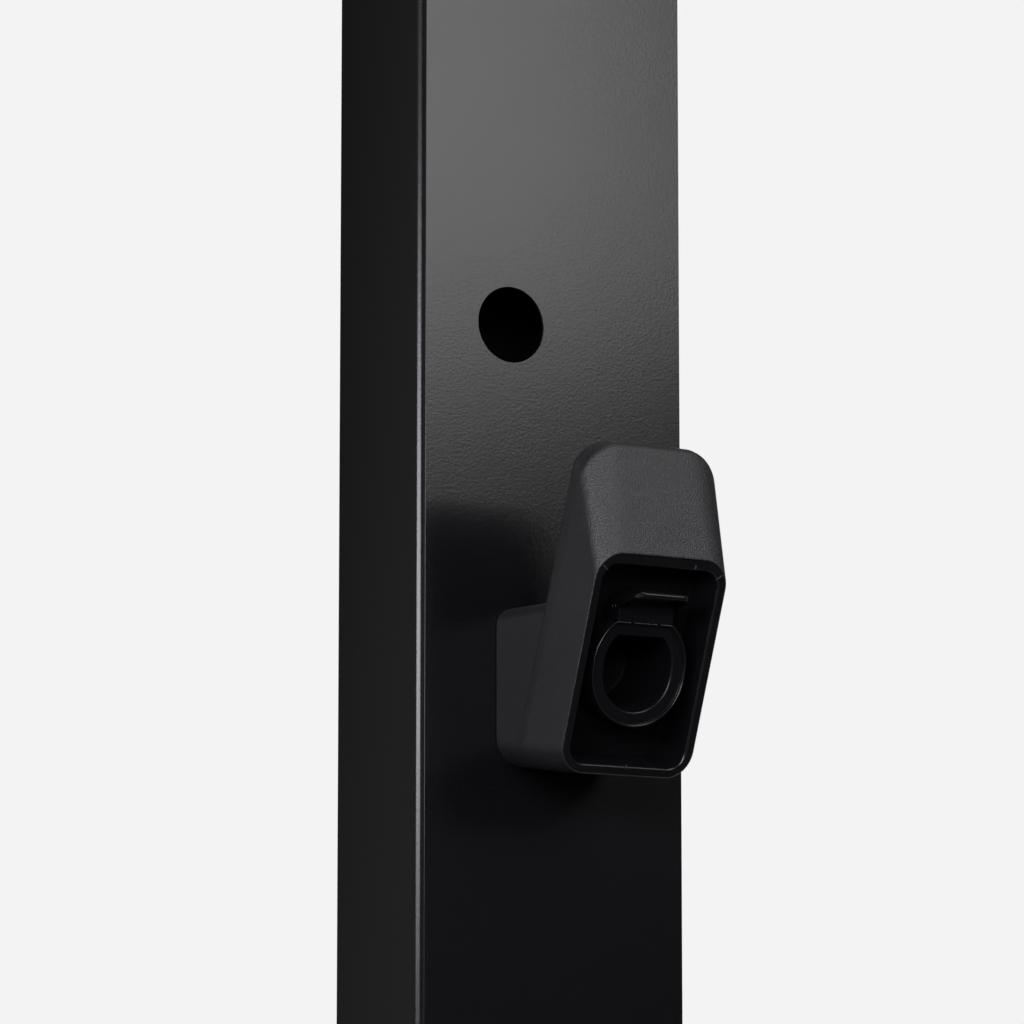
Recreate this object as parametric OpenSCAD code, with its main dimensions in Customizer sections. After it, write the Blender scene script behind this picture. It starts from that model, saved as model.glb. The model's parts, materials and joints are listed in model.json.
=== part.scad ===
// Mounting pole for an electric-vehicle charger: a folded steel post with a textured
// front panel, a round cable hole, and a moulded holster that the charging plug is
// parked in. Millimetres, +Z up. The front faces -Y, and the origin is at floor level
// in the middle of the anchor slots.

/* [Pole] */
// Height of the whole pole, cap included
pole_h = 1500; // [1400:10:1800]
// Width of the folded body
body_w = 220; // [200:1:260]
// Depth of the folded body
body_d = 112; // [105:1:150]
// Thickness of the body's sheet
body_t = 2.5; // [2:0.1:3.5]
// Outer radius of the body's folds
body_r = 4; // [4:0.1:6]
// Width of each front lip of the body
lip_w = 32; // [30:1:40]

/* [Front panel] */
// How far the panel's edge stays inside each side of the body
panel_inset = 4; // [3:0.5:8]
// How far the panel's face stands in front of the lips
panel_proud = 3.5; // [3:0.1:6]
// Thickness of the panel's sheet
panel_t = 2; // [1.5:0.1:2.5]
// Outer radius of the panel's folded edges
panel_r = 1.4; // [0.5:0.1:2]
// Gap between the panel's foot and the base plate
panel_foot_gap = 6; // [2:0.5:15]

/* [Cable hole] */
// Diameter of the cable hole
cable_hole_dia = 54; // [40:0.5:60]
// Height of the cable hole's centre
cable_hole_z = 1150; // [1125:1:1160]
// Sideways place of the cable hole's centre
cable_hole_x = -36; // [-45:1:-30]

/* [Charger fixings] */
// Distance between the fixings, sideways
charger_pitch_x = 120; // [80:1:130]
// Distance between the fixings, upwards
charger_pitch_z = 56; // [40:1:60]
// How far the middle of the fixings lies below the top of the pole
charger_below_top = 65; // [62:1:90]

/* [Foot] */
// Width of the base plate
base_w = 250; // [245:1:300]
// Depth of the base plate
base_d = 230; // [222:1:260]
// Thickness of the base plate
base_t = 10; // [8:0.5:15]
// Corner radius of the base plate
base_r = 12; // [5:1:20]
// Distance between the anchor slots, sideways
anchor_pitch_x = 180; // [160:1:190]
// Distance between the anchor slots, front to back
anchor_pitch_y = 174; // [168:1:178]
// Width of an anchor slot
anchor_slot_w = 14; // [12:0.5:16]
// End-to-end length of an anchor slot
anchor_slot_l = 30; // [20:1:34]
// Width of the cable opening in the base plate
base_opening_w = 130; // [100:1:140]
// Depth of the cable opening in the base plate
base_opening_d = 56; // [40:1:60]
// Thickness of a gusset
gusset_t = 5; // [3:0.5:8]
// Height of a gusset
gusset_h = 50; // [30:1:70]
// How far a gusset reaches into the pole
gusset_reach = 20; // [12:1:22]

/* [Top cap] */
// Thickness of the cap's sheet
cap_t = 2; // [1.5:0.1:3]
// Depth of the skirt inside the body
cap_skirt_h = 28; // [24:1:40]

/* [Holster] */
// Height of the neck's underside at the panel
neck_bottom_z = 838; // [700:1:900]
// Height of the neck at the panel
neck_h = 110; // [105:1:118]
// Half of the neck's width at the panel
neck_half_w = 48.3; // [47:0.1:49]
// Fall of the neck's top towards the hood
neck_fall = 3; // [0:0.5:4]
// Half of the mouth's width
mouth_half_w = 53.2; // [52:0.1:55]
// Tilt of the mouth, outwards at the top
mouth_tilt = 20.5; // [19:0.1:22]
// Reach of the mouth's lower edge from the panel
mouth_reach = 87.4; // [86:0.1:92]
// How far the mouth's lower edge lies below the neck's underside
mouth_drop = 11.9; // [9:0.1:14]
// Length of the mouth, up its plane
mouth_l = 154.6; // [152:0.1:160]
// Corner radius of the mouth
mouth_r = 20; // [18:0.5:22]
// Half of the hood's width at the crease
hood_half_w = 55; // [54:0.1:57]
// Depth of the crease behind the mouth's lower edge
crease_depth = 46; // [43:0.5:48]
// Depth of the brow behind the mouth
brow_depth = 39; // [36:0.5:41]
// Height of the brow above the mouth's lower edge, up the plane
brow_h = 222; // [215:0.5:225]
// Corner radius of the hood at the brow
brow_corner_r = 28; // [22:0.5:30]
// Radius of the brow's edge
brow_r = 5; // [4:0.1:8]
// Rise of the brow's middle over its ends
brow_crown = 0.5; // [0:0.1:2]
// Depth of the hood's rear face behind the mouth
hood_depth = 53; // [51:0.5:56]
// Height of the hood's rear edge, up the plane
hood_rear_h = 220.5; // [214:0.5:223]
// Corner radius of the hood at its rear edge
hood_rear_r = 18.5; // [16:0.5:24]
// Radius of the rear edge of the roof
roof_edge_r = 4; // [3.5:0.1:6]
// Radius of the hollow between the hood and the neck
neck_fillet_r = 13; // [8:0.5:16]
// Corner radius of the neck's top
neck_top_r = 12; // [10:0.5:15]
// Wall of the moulding
shell_t = 3; // [2.5:0.1:3.4]
// Thickness of the seal between neck and panel
gasket_t = 1; // [0.5:0.1:2]

/* [Mouth] */
// Width of the land at the sides
land_side = 6.8; // [6.5:0.1:9]
// Width of the land at the top
land_top = 8.2; // [8:0.1:10]
// Width of the land at the bottom
land_bottom = 7.1; // [6.5:0.1:8]
// Thickness of the land
land_t = 3; // [2:0.1:4]
// Rim of the moulding that shows round the land
rim_t = 0.8; // [0.5:0.1:1.5]
// Corner radius inside the land
land_inner_r = 12; // [10:0.5:14]
// Wall of the tray
tray_t = 2; // [1.5:0.1:2.5]
// Depth of the tray's back plate behind the mouth
tray_depth = 30; // [28:0.5:33]
// Thickness of the back plate
back_t = 3; // [2:0.1:4]
// Height of the step across the back plate above the mouth's lower edge
step_h = 25.5; // [20:0.1:27]
// Depth of that step
step_t = 1.6; // [1:0.1:3]

/* [Socket] */
// Height of the socket's centre above the mouth's lower edge
socket_h = 71.5; // [70:0.1:73]
// How much less the socket leans than the mouth
socket_lean = 6; // [4:0.1:7]
// How much taller than a circle the outlines are
socket_rise = 4.5; // [3:0.1:5]
// Inner radius of the socket
socket_r = 27.3; // [26:0.1:28]
// Height of the socket's inner flat above its centre
socket_flat = 24.7; // [23:0.1:25.5]
// Outer radius of the collar
collar_r = 37.6; // [37:0.1:38.5]
// Height of the collar's outer flat above its centre
collar_flat = 34.3; // [33.5:0.1:35]
// Depth of the collar's edge behind the mouth, at the height of its centre
collar_edge_depth = 5.2; // [4.5:0.1:7]
// Thickness of the collar's raised edge
collar_edge_t = 1.4; // [1:0.1:2]
// Depth of the socket's inner edge behind the collar's edge
socket_edge_depth = 3.7; // [2.5:0.1:5]
// Depth of the socket's floor behind the collar's edge
socket_depth = 60; // [55:0.5:62]
// Wall of the sleeve behind the back plate
sleeve_t = 2; // [1.5:0.1:2.2]

/* [Latch block] */
// Half of the block's width
latch_half_w = 22.4; // [21:0.1:22.6]
// Height of the block above the collar's flat
latch_h = 23; // [22:0.1:25]
// Radius of the block's top corners at its rear
latch_r = 19.5; // [15:0.5:20]
// Radius of the block's corners at the visor
visor_r = 6; // [3:0.1:8]
// Thickness of the visor
visor_t = 4.3; // [3.5:0.1:5]
// How far the visor stands out in front of the collar
visor_reach = 19.5; // [17:0.1:21]
// Radius of the visor's front corners, seen from above
visor_round_r = 8; // [5:0.1:10]
// Radius of the hollow under the visor
visor_hollow_r = 3.5; // [2:0.1:5]
// Depth of the block's face behind the collar's edge
latch_face_depth = 0.5; // [0.3:0.1:3]
// Diameter of the cross pin
latch_pin_dia = 3; // [2:0.1:4]
// Height of the cross pin above the collar's flat
pin_h = 9.3; // [7:0.1:11]
// Depth of the cross pin behind the block's face
pin_depth = 7.2; // [5:0.1:9]

/* [Fasteners] */
// Thread diameter of the charger's fixings
charger_thread_dia = 6; // [5:1:8]
// Thread diameter of the small screws
screw_dia = 5; // [4:0.5:6]
// Thread diameter of the socket's screws
socket_screw_dia = 3.5; // [3:0.5:4]
// Thread diameter of the earth stud
earth_dia = 8; // [6:1:10]

/* [Rails] */
// Height of the cable rail
cable_rail_z = 230; // [200:1:300]
// Height of the terminal rail
din_rail_z = 430; // [380:1:600]
// Length of both rails
rail_l = 160; // [120:1:180]
// Length of the spacers behind the rails
standoff_l = 20; // [10:1:25]

/* [Hidden] */

$fn = 64;
// Overshoot of a cut past the face that it opens
cut = 1;
// Play between pieces that slide together
play = 0.2;
// Radial play of a screw in its hole
hole_play = 0.4;
// Radial play of a screw in its thread
thread_play = 0.05;

// Faces of the body and the panel
body_front_y = -body_d / 2;
body_back_in_y = body_d / 2 - body_t;
face_y = body_front_y - panel_proud;
panel_back_y = face_y + panel_t;
body_top_z = pole_h - cap_t;
panel_w = body_w - 2 * panel_inset;
panel_z0 = base_t + panel_foot_gap;
panel_z1 = body_top_z - 1;
lip_x = body_w / 2 - body_r - (lip_w - body_r) / 2;

// Hooks that carry the panel
hook_t = 3;
hook_h = 30;
hook_notch_h = 16;
hook_play = 0.3;
hook_reach = 5;
hook_slot_h = hook_h + 2;
hook_zs = [for (f = [0.1, 0.5, 0.9]) f * (panel_z1 - panel_z0)];
hook_end_gap = 1.5;

// Heights of the small fixings at both ends
lock_z = panel_z0 + 24;
cap_screw_z = body_top_z - 16;
charger_z = pole_h - charger_below_top;
cap_screw_x = body_w / 4;

// Outline of the holster seen from the side, as [outward, up]
mouth_in = [-cos(mouth_tilt), sin(mouth_tilt)];
mouth_up = [sin(mouth_tilt), cos(mouth_tilt)];
mouth_base = [mouth_reach, neck_bottom_z - mouth_drop];
neck_top_z = neck_bottom_z + neck_h;
belly_dir = unit([0, neck_bottom_z] - mouth_base);
belly_in = [belly_dir[1], -belly_dir[0]];

// Counts of steps in the skin of the moulding
corner_steps = 7;
brow_steps = 4;
arc_steps = 5;

// Bosses of the neck
boss_r = 7;
boss_l = 22;
boss_x = neck_half_w - shell_t - boss_r + 1.5;
boss_zs = [neck_bottom_z + 26, neck_top_z - 24];
insert_r = 3.5;
insert_l = 10;
insert_room = 6;

// Lengths of the screws' shanks
lock_screw_l = 10;
cap_screw_l = 12;
holster_screw_l = 16;
rail_screw_l = 10;
socket_screw_l = back_t + 10;

// Places of the rails' screws as a share of the length, and the washers of the earth stud
rail_screw_share = 0.38;
flat_washer_t = 1.6;
spring_washer_t = 1.4;

// Screw heads, as shares of the thread diameter
head_r_share = 0.95;
head_h_share = 0.62;
washer_r_share = 1.05;
washer_t = 1;

function unit(v) = v / norm(v);
function lerp(a, b, f) = a + (b - a) * f;
function cross2(a, b) = a[0] * b[1] - a[1] * b[0];

// Point of the holster's side view at a depth behind the mouth and a height up it
function mouth_point(depth, up) = mouth_base + depth * mouth_in + up * mouth_up;
function depth_of(p) = (p - mouth_base) * mouth_in;

// Where the line through p along u meets the line through q along v
function meet(p, u, q, v) = p + u * (cross2(q - p, v) / cross2(u, v));

// Arc of radius r that rounds vertex v between its neighbours p and q
function round_corner(v, p, q, r, steps) =
    let (a = unit(p - v), b = unit(q - v), half = acos(a * b) / 2,
         centre = v + unit(a + b) * r / sin(half),
         start = v + a * r / tan(half) - centre, end = v + b * r / tan(half) - centre,
         sweep = atan2(cross2(start, end), start * end))
    [for (i = [0:steps]) let (turn = sweep * i / steps)
        centre + [start[0] * cos(turn) - start[1] * sin(turn),
                  start[0] * sin(turn) + start[1] * cos(turn)]];

// Point of the underside at a depth behind the mouth, moved inwards by e
function belly_point(depth, e) =
    mouth_base + e * belly_in
    + belly_dir * (depth - e * (belly_in * mouth_in)) / (belly_dir * mouth_in);

// Lines of the upper outline, moved inwards by e, as [point, direction]
function inward(v) = [v[1], -v[0]];
function moved_line(p, q, e) = let (u = unit(q - p)) [p + e * inward(u), u];
function neck_line(e) =
    let (u = unit([mouth_reach, -neck_fall])) [[0, neck_top_z] + e * inward(u), u];
function rear_line(e) = [mouth_point(hood_depth - e, 0), mouth_up];
function roof_line(e) =
    moved_line(mouth_point(hood_depth, hood_rear_h), mouth_point(brow_depth, brow_h), e);

// Its corners: the hollow over the neck, the rear edge, the brow and the lip
function crossing(a, b) = meet(a[0], a[1], b[0], b[1]);
function hollow_point(e) = crossing(neck_line(e), rear_line(e));
function rear_edge(e) = crossing(rear_line(e), roof_line(e));
function lip_point(e) = mouth_point(land_t * e / shell_t, mouth_l - e);
function brow_point(e) =
    crossing(roof_line(e), moved_line(mouth_point(brow_depth, brow_h), mouth_point(0, mouth_l), e));

// Half of the width at a depth of the underside: it flares to the crease, then it tapers
function half_width(depth) =
    let (wall_depth = depth_of([0, neck_bottom_z]))
    depth <= crease_depth ? lerp(mouth_half_w, hood_half_w, depth / crease_depth)
        : lerp(hood_half_w, neck_half_w, (depth - crease_depth) / (wall_depth - crease_depth));

// Rings of the skin from the panel to the mouth, moved inwards by e. Each station is
// [depth at the underside, upper point, top corner radius]
function stations(e) =
    let (line = neck_line(e), start = meet(line[0], line[1], [gasket_t, 0], [0, 1]),
         low = belly_point(0, e), d_low = depth_of(low + belly_dir * (low[0] - gasket_t) / -belly_dir[0]),
         hollow = round_corner(hollow_point(e), start, rear_edge(e), neck_fillet_r + e, arc_steps),
         edge = round_corner(rear_edge(e), hollow_point(e), brow_point(e), roof_edge_r - e, arc_steps),
         brow = round_corner(brow_point(e), rear_edge(e), lip_point(e), brow_r - e, arc_steps),
         foot = hollow[arc_steps], head = edge[0],
         d_neck = depth_of(hollow[0]), d_rear = hood_depth, fan = 5, lip_depth = land_t * e / shell_t,
         front = brow[arc_steps])
    concat(
        [for (f = [0:0.25:0.8]) [lerp(d_low, d_neck, f), lerp(start, hollow[0], f), neck_top_r]],
        [for (i = [0:arc_steps])
            [lerp(d_neck, d_rear + fan, i / arc_steps), hollow[i], neck_top_r]],
        [for (f = [0.2:0.2:0.9])
            [d_rear + fan * (1 - f), lerp(foot, head, f), lerp(neck_top_r, hood_rear_r, f)]],
        [for (i = [0:arc_steps]) let (f = i / arc_steps)
            [lerp(d_rear, crease_depth + 2, f), edge[i], lerp(hood_rear_r, brow_corner_r, 0.5 * f)]],
        [for (i = [0:arc_steps]) let (f = i / arc_steps)
            [lerp(crease_depth + 1, crease_depth - 2, f), brow[i], brow_corner_r]],
        [for (i = [1:brow_steps]) let (f = i / brow_steps)
            [lerp(crease_depth - 2, lip_depth, f), lerp(front, lip_point(e), f),
             lerp(brow_corner_r, mouth_r, f)]]);

// Rounded outline of one ring as points in space
function ring(low, high, w, top_r, bottom_r) =
    let (h = norm(high - low), up = (high - low) / h,
         corners = [[w - bottom_r, bottom_r, bottom_r, -90], [w - top_r, h - top_r, top_r, 0],
                    [top_r - w, h - top_r, top_r, 90], [bottom_r - w, bottom_r, bottom_r, 180]],
         outline = [for (c = corners) for (k = [0:corner_steps]) let (a = c[3] + 90 * k / corner_steps)
                        [c[0] + c[2] * cos(a), c[1] + c[2] * sin(a)]],
         half = 2 * (corner_steps + 1),
         middle = [for (f = [0.5, 0, -0.5]) [f * (w - top_r), h]],
         loop = concat([for (k = [0:half - 1]) outline[k]], middle,
                       [for (k = [half:len(outline) - 1]) outline[k]]))
    [for (p = loop) let (lift = brow_crown * (1 - pow(p[0] / w, 2)) * max(0, (p[1] - h + top_r) / top_r),
                         q = low + up * (p[1] + lift)) [p[0], face_y - q[0], q[1]]];

function shell_rings(e) =
    [for (s = stations(e))
        ring(belly_point(s[0], e), s[1], half_width(s[0]) - e, s[2] - e, mouth_r - e)];

// Ring of the seat that the land lies in
function seat_ring(depth) =
    ring(mouth_point(depth, rim_t), mouth_point(depth, mouth_l - rim_t), mouth_half_w - rim_t,
         mouth_r - rim_t, mouth_r - rim_t);

// Closed skin of the wall: out to the mouth, over the rim, and back inside to the panel
module shell() {
    inside = shell_rings(shell_t);
    rings = concat(shell_rings(0), [seat_ring(0), seat_ring(land_t)],
                   [for (i = [len(inside) - 1:-1:0]) inside[i]]);
    n = len(rings[0]);
    count = len(rings);
    points = [for (r = rings) for (p = r) p];
    polyhedron(points, [for (i = [0:count - 1]) for (k = [0:n - 1])
        let (j = (i + 1) % count, m = (k + 1) % n)
        for (f = [[i * n + k, j * n + k, j * n + m], [i * n + k, j * n + m, i * n + m]]) f]);
}

// Frame of the mouth: x sideways, y up the mouth, z out of it
module at_mouth() {
    translate([0, face_y - mouth_base[0], mouth_base[1]]) rotate([90 + mouth_tilt, 0, 0])
        children();
}

// Frame of the socket: it leans less than the mouth, and z = 0 is the collar's edge
module at_socket() {
    at_mouth() translate([0, socket_h, -collar_edge_depth]) rotate([-socket_lean, 0, 0]) children();
}

// Frame of the panel's face: x sideways, y up, z outwards
module at_face(y = face_y) {
    translate([0, y, 0]) rotate([90, 0, 0]) children();
}

module rounded_rect(w, h, r) {
    square([w - 2 * r, h], center = true);
    square([w, h - 2 * r], center = true);
    for (x = [-1, 1], y = [-1, 1])
        translate([x * (w / 2 - r), y * (h / 2 - r)]) circle(r);
}

module slot(l, w) {
    square([l - w, w], center = true);
    for (x = [-1, 1]) translate([x * (l - w) / 2, 0]) circle(d = w);
}

// D-shaped outline: a circle drawn out upwards a little, with its top cut to a flat
module dee(r, flat) {
    intersection() {
        union() {
            circle(r);
            translate([0, socket_rise]) circle(r);
            translate([-r, 0]) square([2 * r, socket_rise]);
        }
        translate([-r - cut, -r - cut]) square([2 * (r + cut), flat + r + cut]);
    }
}

// Screw along +z, with its head below the origin and its shank above
module pan_screw(d, l) {
    translate([0, 0, -d * head_h_share]) cylinder(r = d * head_r_share, h = d * head_h_share);
    cylinder(d = d, h = l);
}

module washer(d, r, t) {
    difference() {
        cylinder(r = r, h = t);
        translate([0, 0, -cut]) cylinder(r = d / 2 + hole_play, h = t + 2 * cut);
    }
}

// Rivet nut in a sheet whose front is the plane z = 0: flange in front, collar behind
module rivet_nut(d, sheet) {
    r = d / 2;
    flange_w = 3.5;
    flange_t = 0.8;
    bulge_w = 3;
    bulge_t = 2.2;
    barrel_w = 1.5;
    barrel_l = 9;
    rotate_extrude() difference() {
        union() {
            square([r + flange_w, flange_t]);
            translate([0, -sheet]) square([rivet_hole_r(d) - play / 2, sheet + flange_t / 2]);
            translate([0, -sheet - bulge_t]) square([r + bulge_w, bulge_t]);
            translate([0, -sheet - barrel_l]) square([r + barrel_w, barrel_l - bulge_t / 2]);
        }
        translate([-cut, -sheet - barrel_l - cut])
            square([r + cut - thread_allow(d), sheet + barrel_l + flange_t + 2 * cut]);
    }
}
function rivet_hole_r(d) = d / 2 + 1.6;
// Half of the thread's depth, so that a tapped hole has its minor diameter
function thread_allow(d) = d / 12;

// Bore of a nut or insert that holds a screw, through everything along z
module screw_bore(d) {
    l = 60;
    translate([0, 0, -l / 2]) cylinder(r = d / 2 + thread_play, h = l);
}

module pole_body() {
    color("#1b1b1d") difference() {
        translate([0, 0, base_t]) linear_extrude(body_top_z - base_t) difference() {
            rounded_rect(body_w, body_d, body_r);
            rounded_rect(body_w - 2 * body_t, body_d - 2 * body_t, body_r - body_t);
            translate([0, body_front_y])
                square([body_w - 2 * lip_w, 2 * body_t + 2 * cut], center = true);
        }
        for (x = [-lip_x, lip_x]) {
            for (z = hook_zs)
                translate([x - hook_t / 2 - hook_play, body_front_y - cut, panel_z0 + z + hook_notch_h])
                    cube([hook_t + 2 * hook_play, body_t + 2 * cut, hook_slot_h]);
            translate([x, 0, lock_z]) at_face(body_front_y + body_t + cut)
                cylinder(r = rivet_hole_r(screw_dia), h = body_t + 2 * cut);
        }
        for (x = [-cap_screw_x, cap_screw_x])
            translate([x, body_d / 2 + cut, cap_screw_z]) rotate([90, 0, 0])
                cylinder(r = screw_dia / 2 + hole_play, h = body_t + 2 * cut);
    }
}

// Section of the panel: a flat face with both edges turned back to the lips
module panel_section() {
    difference() {
        union() {
            translate([-panel_w / 2, face_y + panel_r]) square([panel_w, panel_proud - panel_r]);
            translate([-panel_w / 2 + panel_r, face_y]) square([panel_w - 2 * panel_r, panel_proud]);
            for (x = [-1, 1]) translate([x * (panel_w / 2 - panel_r), face_y + panel_r])
                circle(panel_r);
        }
        translate([-panel_w / 2 + panel_t, panel_back_y])
            square([panel_w - 2 * panel_t, panel_proud]);
    }
}

module front_panel() {
    color("#1e1e20") difference() {
        union() {
            translate([0, 0, panel_z0]) linear_extrude(panel_z1 - panel_z0) panel_section();
            for (z = [panel_z0, panel_z1 - panel_t])
                translate([-panel_w / 2 + panel_t, panel_back_y, z])
                    cube([panel_w - 2 * panel_t, panel_proud - panel_t, panel_t]);
        }
        translate([cable_hole_x, 0, cable_hole_z]) at_face(panel_back_y + cut)
            cylinder(d = cable_hole_dia, h = panel_t + 2 * cut, $fn = 128);
        charger_places() translate([0, 0, -panel_t - cut])
            cylinder(r = rivet_hole_r(charger_thread_dia), h = panel_t + 2 * cut);
        boss_places() translate([0, 0, -panel_t - cut])
            cylinder(r = screw_dia / 2 + hole_play, h = panel_t + 2 * cut);
        for (x = [-lip_x, lip_x]) translate([x, 0, lock_z]) at_face() {
            translate([0, 0, -panel_t - cut]) cylinder(r = screw_dia / 2 + hole_play, h = panel_t + 2 * cut);
            translate([0, 0, -panel_t])
                cylinder(r1 = screw_dia / 2 + hole_play, r2 = screw_dia + hole_play, h = panel_t);
        }
    }
}

module charger_places() {
    for (x = [-1, 1], z = [-1, 1])
        translate([x * charger_pitch_x / 2, 0, charger_z + z * charger_pitch_z / 2]) at_face() children();
}

module boss_places() {
    for (x = [-1, 1], z = boss_zs) translate([x * boss_x, 0, z]) at_face() children();
}

// Sheet hook: stands on the panel's back and hangs over the lower edge of its slot
module panel_hooks() {
    lip_back_y = body_front_y + body_t;
    color("#2a2a2c") for (x = [-lip_x, lip_x], z = hook_zs)
        translate([x - hook_t / 2, 0, panel_z0 + z]) difference() {
            translate([0, panel_back_y, 0])
                cube([hook_t, lip_back_y + hook_reach - panel_back_y, hook_h]);
            translate([-cut, body_front_y - hook_play, -cut])
                cube([hook_t + 2 * cut, body_t + 2 * hook_play, hook_notch_h + cut]);
        }
}

module panel_lock_screws() {
    color("#3a3a3c") for (x = [-lip_x, lip_x]) translate([x, 0, lock_z]) at_face() {
        translate([0, 0, -panel_t]) cylinder(r1 = screw_dia / 2, r2 = screw_dia, h = panel_t);
        translate([0, 0, -panel_proud - lock_screw_l])
            cylinder(d = screw_dia, h = lock_screw_l + panel_proud - panel_t);
    }
}

// The flange of each lies between the lip and the panel's sheet
module panel_lock_nuts() {
    color("#b9b9bc") for (x = [-lip_x, lip_x]) translate([x, 0, lock_z]) at_face(body_front_y)
        difference() {
            rivet_nut(screw_dia, body_t);
            screw_bore(screw_dia);
        }
}

module base_plate() {
    color("#1b1b1d") linear_extrude(base_t) difference() {
        rounded_rect(base_w, base_d, base_r);
        rounded_rect(base_opening_w, base_opening_d, base_opening_d / 3);
        for (x = [-1, 1], y = [-1, 1])
            translate([x * anchor_pitch_x / 2, y * anchor_pitch_y / 2]) slot(anchor_slot_l, anchor_slot_w);
    }
}

// Triangular plate with its long edge up the wall, and its weld corner cut off
module gusset() {
    relief = 6;
    tip = 4;
    rotate([90, 0, 0]) translate([0, 0, -gusset_t / 2]) linear_extrude(gusset_t)
        polygon([[relief, 0], [gusset_reach, 0], [gusset_reach, tip], [tip, gusset_h], [0, gusset_h],
                 [0, relief]]);
}

module base_gussets() {
    color("#1b1b1d") {
        for (x = [-body_w / 5, body_w / 5])
            translate([x, body_back_in_y, base_t]) rotate([0, 0, -90]) gusset();
        translate([-body_w / 2 + body_t, 0, base_t]) gusset();
        translate([body_w / 2 - body_t, 0, base_t]) rotate([0, 0, 180]) gusset();
    }
}

// Lid that covers body and panel, with a skirt along the back and both sides
module top_cap() {
    skirt_w = body_w - 2 * body_t - 2 * play;
    skirt_d = body_d - 2 * body_t - 2 * play;
    front_gap = 10;
    color("#1b1b1d") {
        translate([0, 0, body_top_z]) linear_extrude(cap_t) {
            rounded_rect(body_w, body_d, body_r);
            translate([-body_w / 2, face_y]) square([body_w, body_d / 2]);
        }
        difference() {
            translate([0, 0, body_top_z - cap_skirt_h]) linear_extrude(cap_skirt_h) difference() {
                square([skirt_w, skirt_d], center = true);
                translate([0, -cap_t]) square([skirt_w - 2 * cap_t, skirt_d], center = true);
                translate([0, -skirt_d / 2]) square([skirt_w + 2 * cut, 2 * front_gap], center = true);
            }
            for (x = [-cap_screw_x, cap_screw_x])
                translate([x, body_back_in_y + cut, cap_screw_z]) rotate([90, 0, 0])
                    cylinder(r = rivet_hole_r(screw_dia), h = cap_t + play + 2 * cut);
        }
    }
}

module cap_screws() {
    color("#3a3a3c") for (x = [-cap_screw_x, cap_screw_x])
        translate([x, body_d / 2, cap_screw_z]) rotate([90, 0, 0]) pan_screw(screw_dia, cap_screw_l);
}

module cap_rivet_nuts() {
    color("#b9b9bc") for (x = [-cap_screw_x, cap_screw_x])
        translate([x, body_back_in_y - play, cap_screw_z]) rotate([-90, 0, 0]) difference() {
            intersection() {
                rivet_nut(screw_dia, cap_t);
                mirror([0, 0, 1]) cylinder(r = 2 * screw_dia, h = cap_skirt_h);
            }
            screw_bore(screw_dia);
        }
}

module charger_rivet_nuts() {
    color("#b9b9bc") charger_places() rivet_nut(charger_thread_dia, panel_t);
}

module holster_housing() {
    color("#202022") difference() {
        union() {
            shell();
            boss_places() translate([0, 0, gasket_t]) cylinder(r = boss_r, h = boss_l, $fn = 32);
        }
        boss_places() translate([0, 0, gasket_t - cut])
            cylinder(r = insert_r, h = insert_l + insert_room + cut, $fn = 32);
    }
}

// Glossy tray: land, walls, floor and a back plate with an opening for the collar
module holster_liner() {
    inner_w = 2 * (mouth_half_w - land_side);
    inner_l = mouth_l - land_top - land_bottom;
    inner_y = land_bottom + inner_l / 2;
    back_z = -tray_depth - back_t;
    color("#0e0e0f") at_mouth() difference() {
        union() {
            translate([0, mouth_l / 2, -land_t]) linear_extrude(land_t)
                rounded_rect(2 * (mouth_half_w - rim_t) - 2 * play, mouth_l - 2 * rim_t - 2 * play,
                             mouth_r - rim_t - play);
            translate([0, inner_y, back_z]) linear_extrude(tray_depth + back_t)
                rounded_rect(inner_w + 2 * tray_t, inner_l + 2 * tray_t, land_inner_r + tray_t);
        }
        translate([0, inner_y, -tray_depth]) linear_extrude(tray_depth + cut)
            rounded_rect(inner_w, inner_l, land_inner_r);
        translate([0, inner_y, -tray_depth - step_t]) linear_extrude(step_t + cut) intersection() {
            rounded_rect(inner_w, inner_l, land_inner_r);
            translate([-inner_w / 2, -inner_y]) square([inner_w, step_h]);
        }
        translate([0, socket_h, -collar_edge_depth]) rotate([-socket_lean, 0, 0])
            translate([0, 0, -socket_depth]) linear_extrude(socket_depth)
                dee(socket_r + sleeve_t + play, socket_flat + sleeve_t + play);
        socket_screw_places() translate([0, 0, -cut])
            cylinder(r = socket_screw_dia / 2 + hole_play, h = back_t + 2 * cut);
    }
}

// Places of the socket's screws on the rear of the back plate, in the mouth's frame
module socket_screw_places() {
    ring_r = (socket_r + sleeve_t + collar_r) / 2;
    centre_h = socket_h - (tray_depth - collar_edge_depth) * tan(socket_lean);
    for (a = [-150, -90, -30])
        translate([ring_r * cos(a), centre_h + ring_r * sin(a), -tray_depth - back_t]) children();
}

// Everything in front of the tray's back plate
module before_back_plate() {
    span = 4 * mouth_half_w;
    at_mouth() translate([-span / 2, -span / 2, -tray_depth]) cube([span, 2 * span, span]);
}

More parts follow.
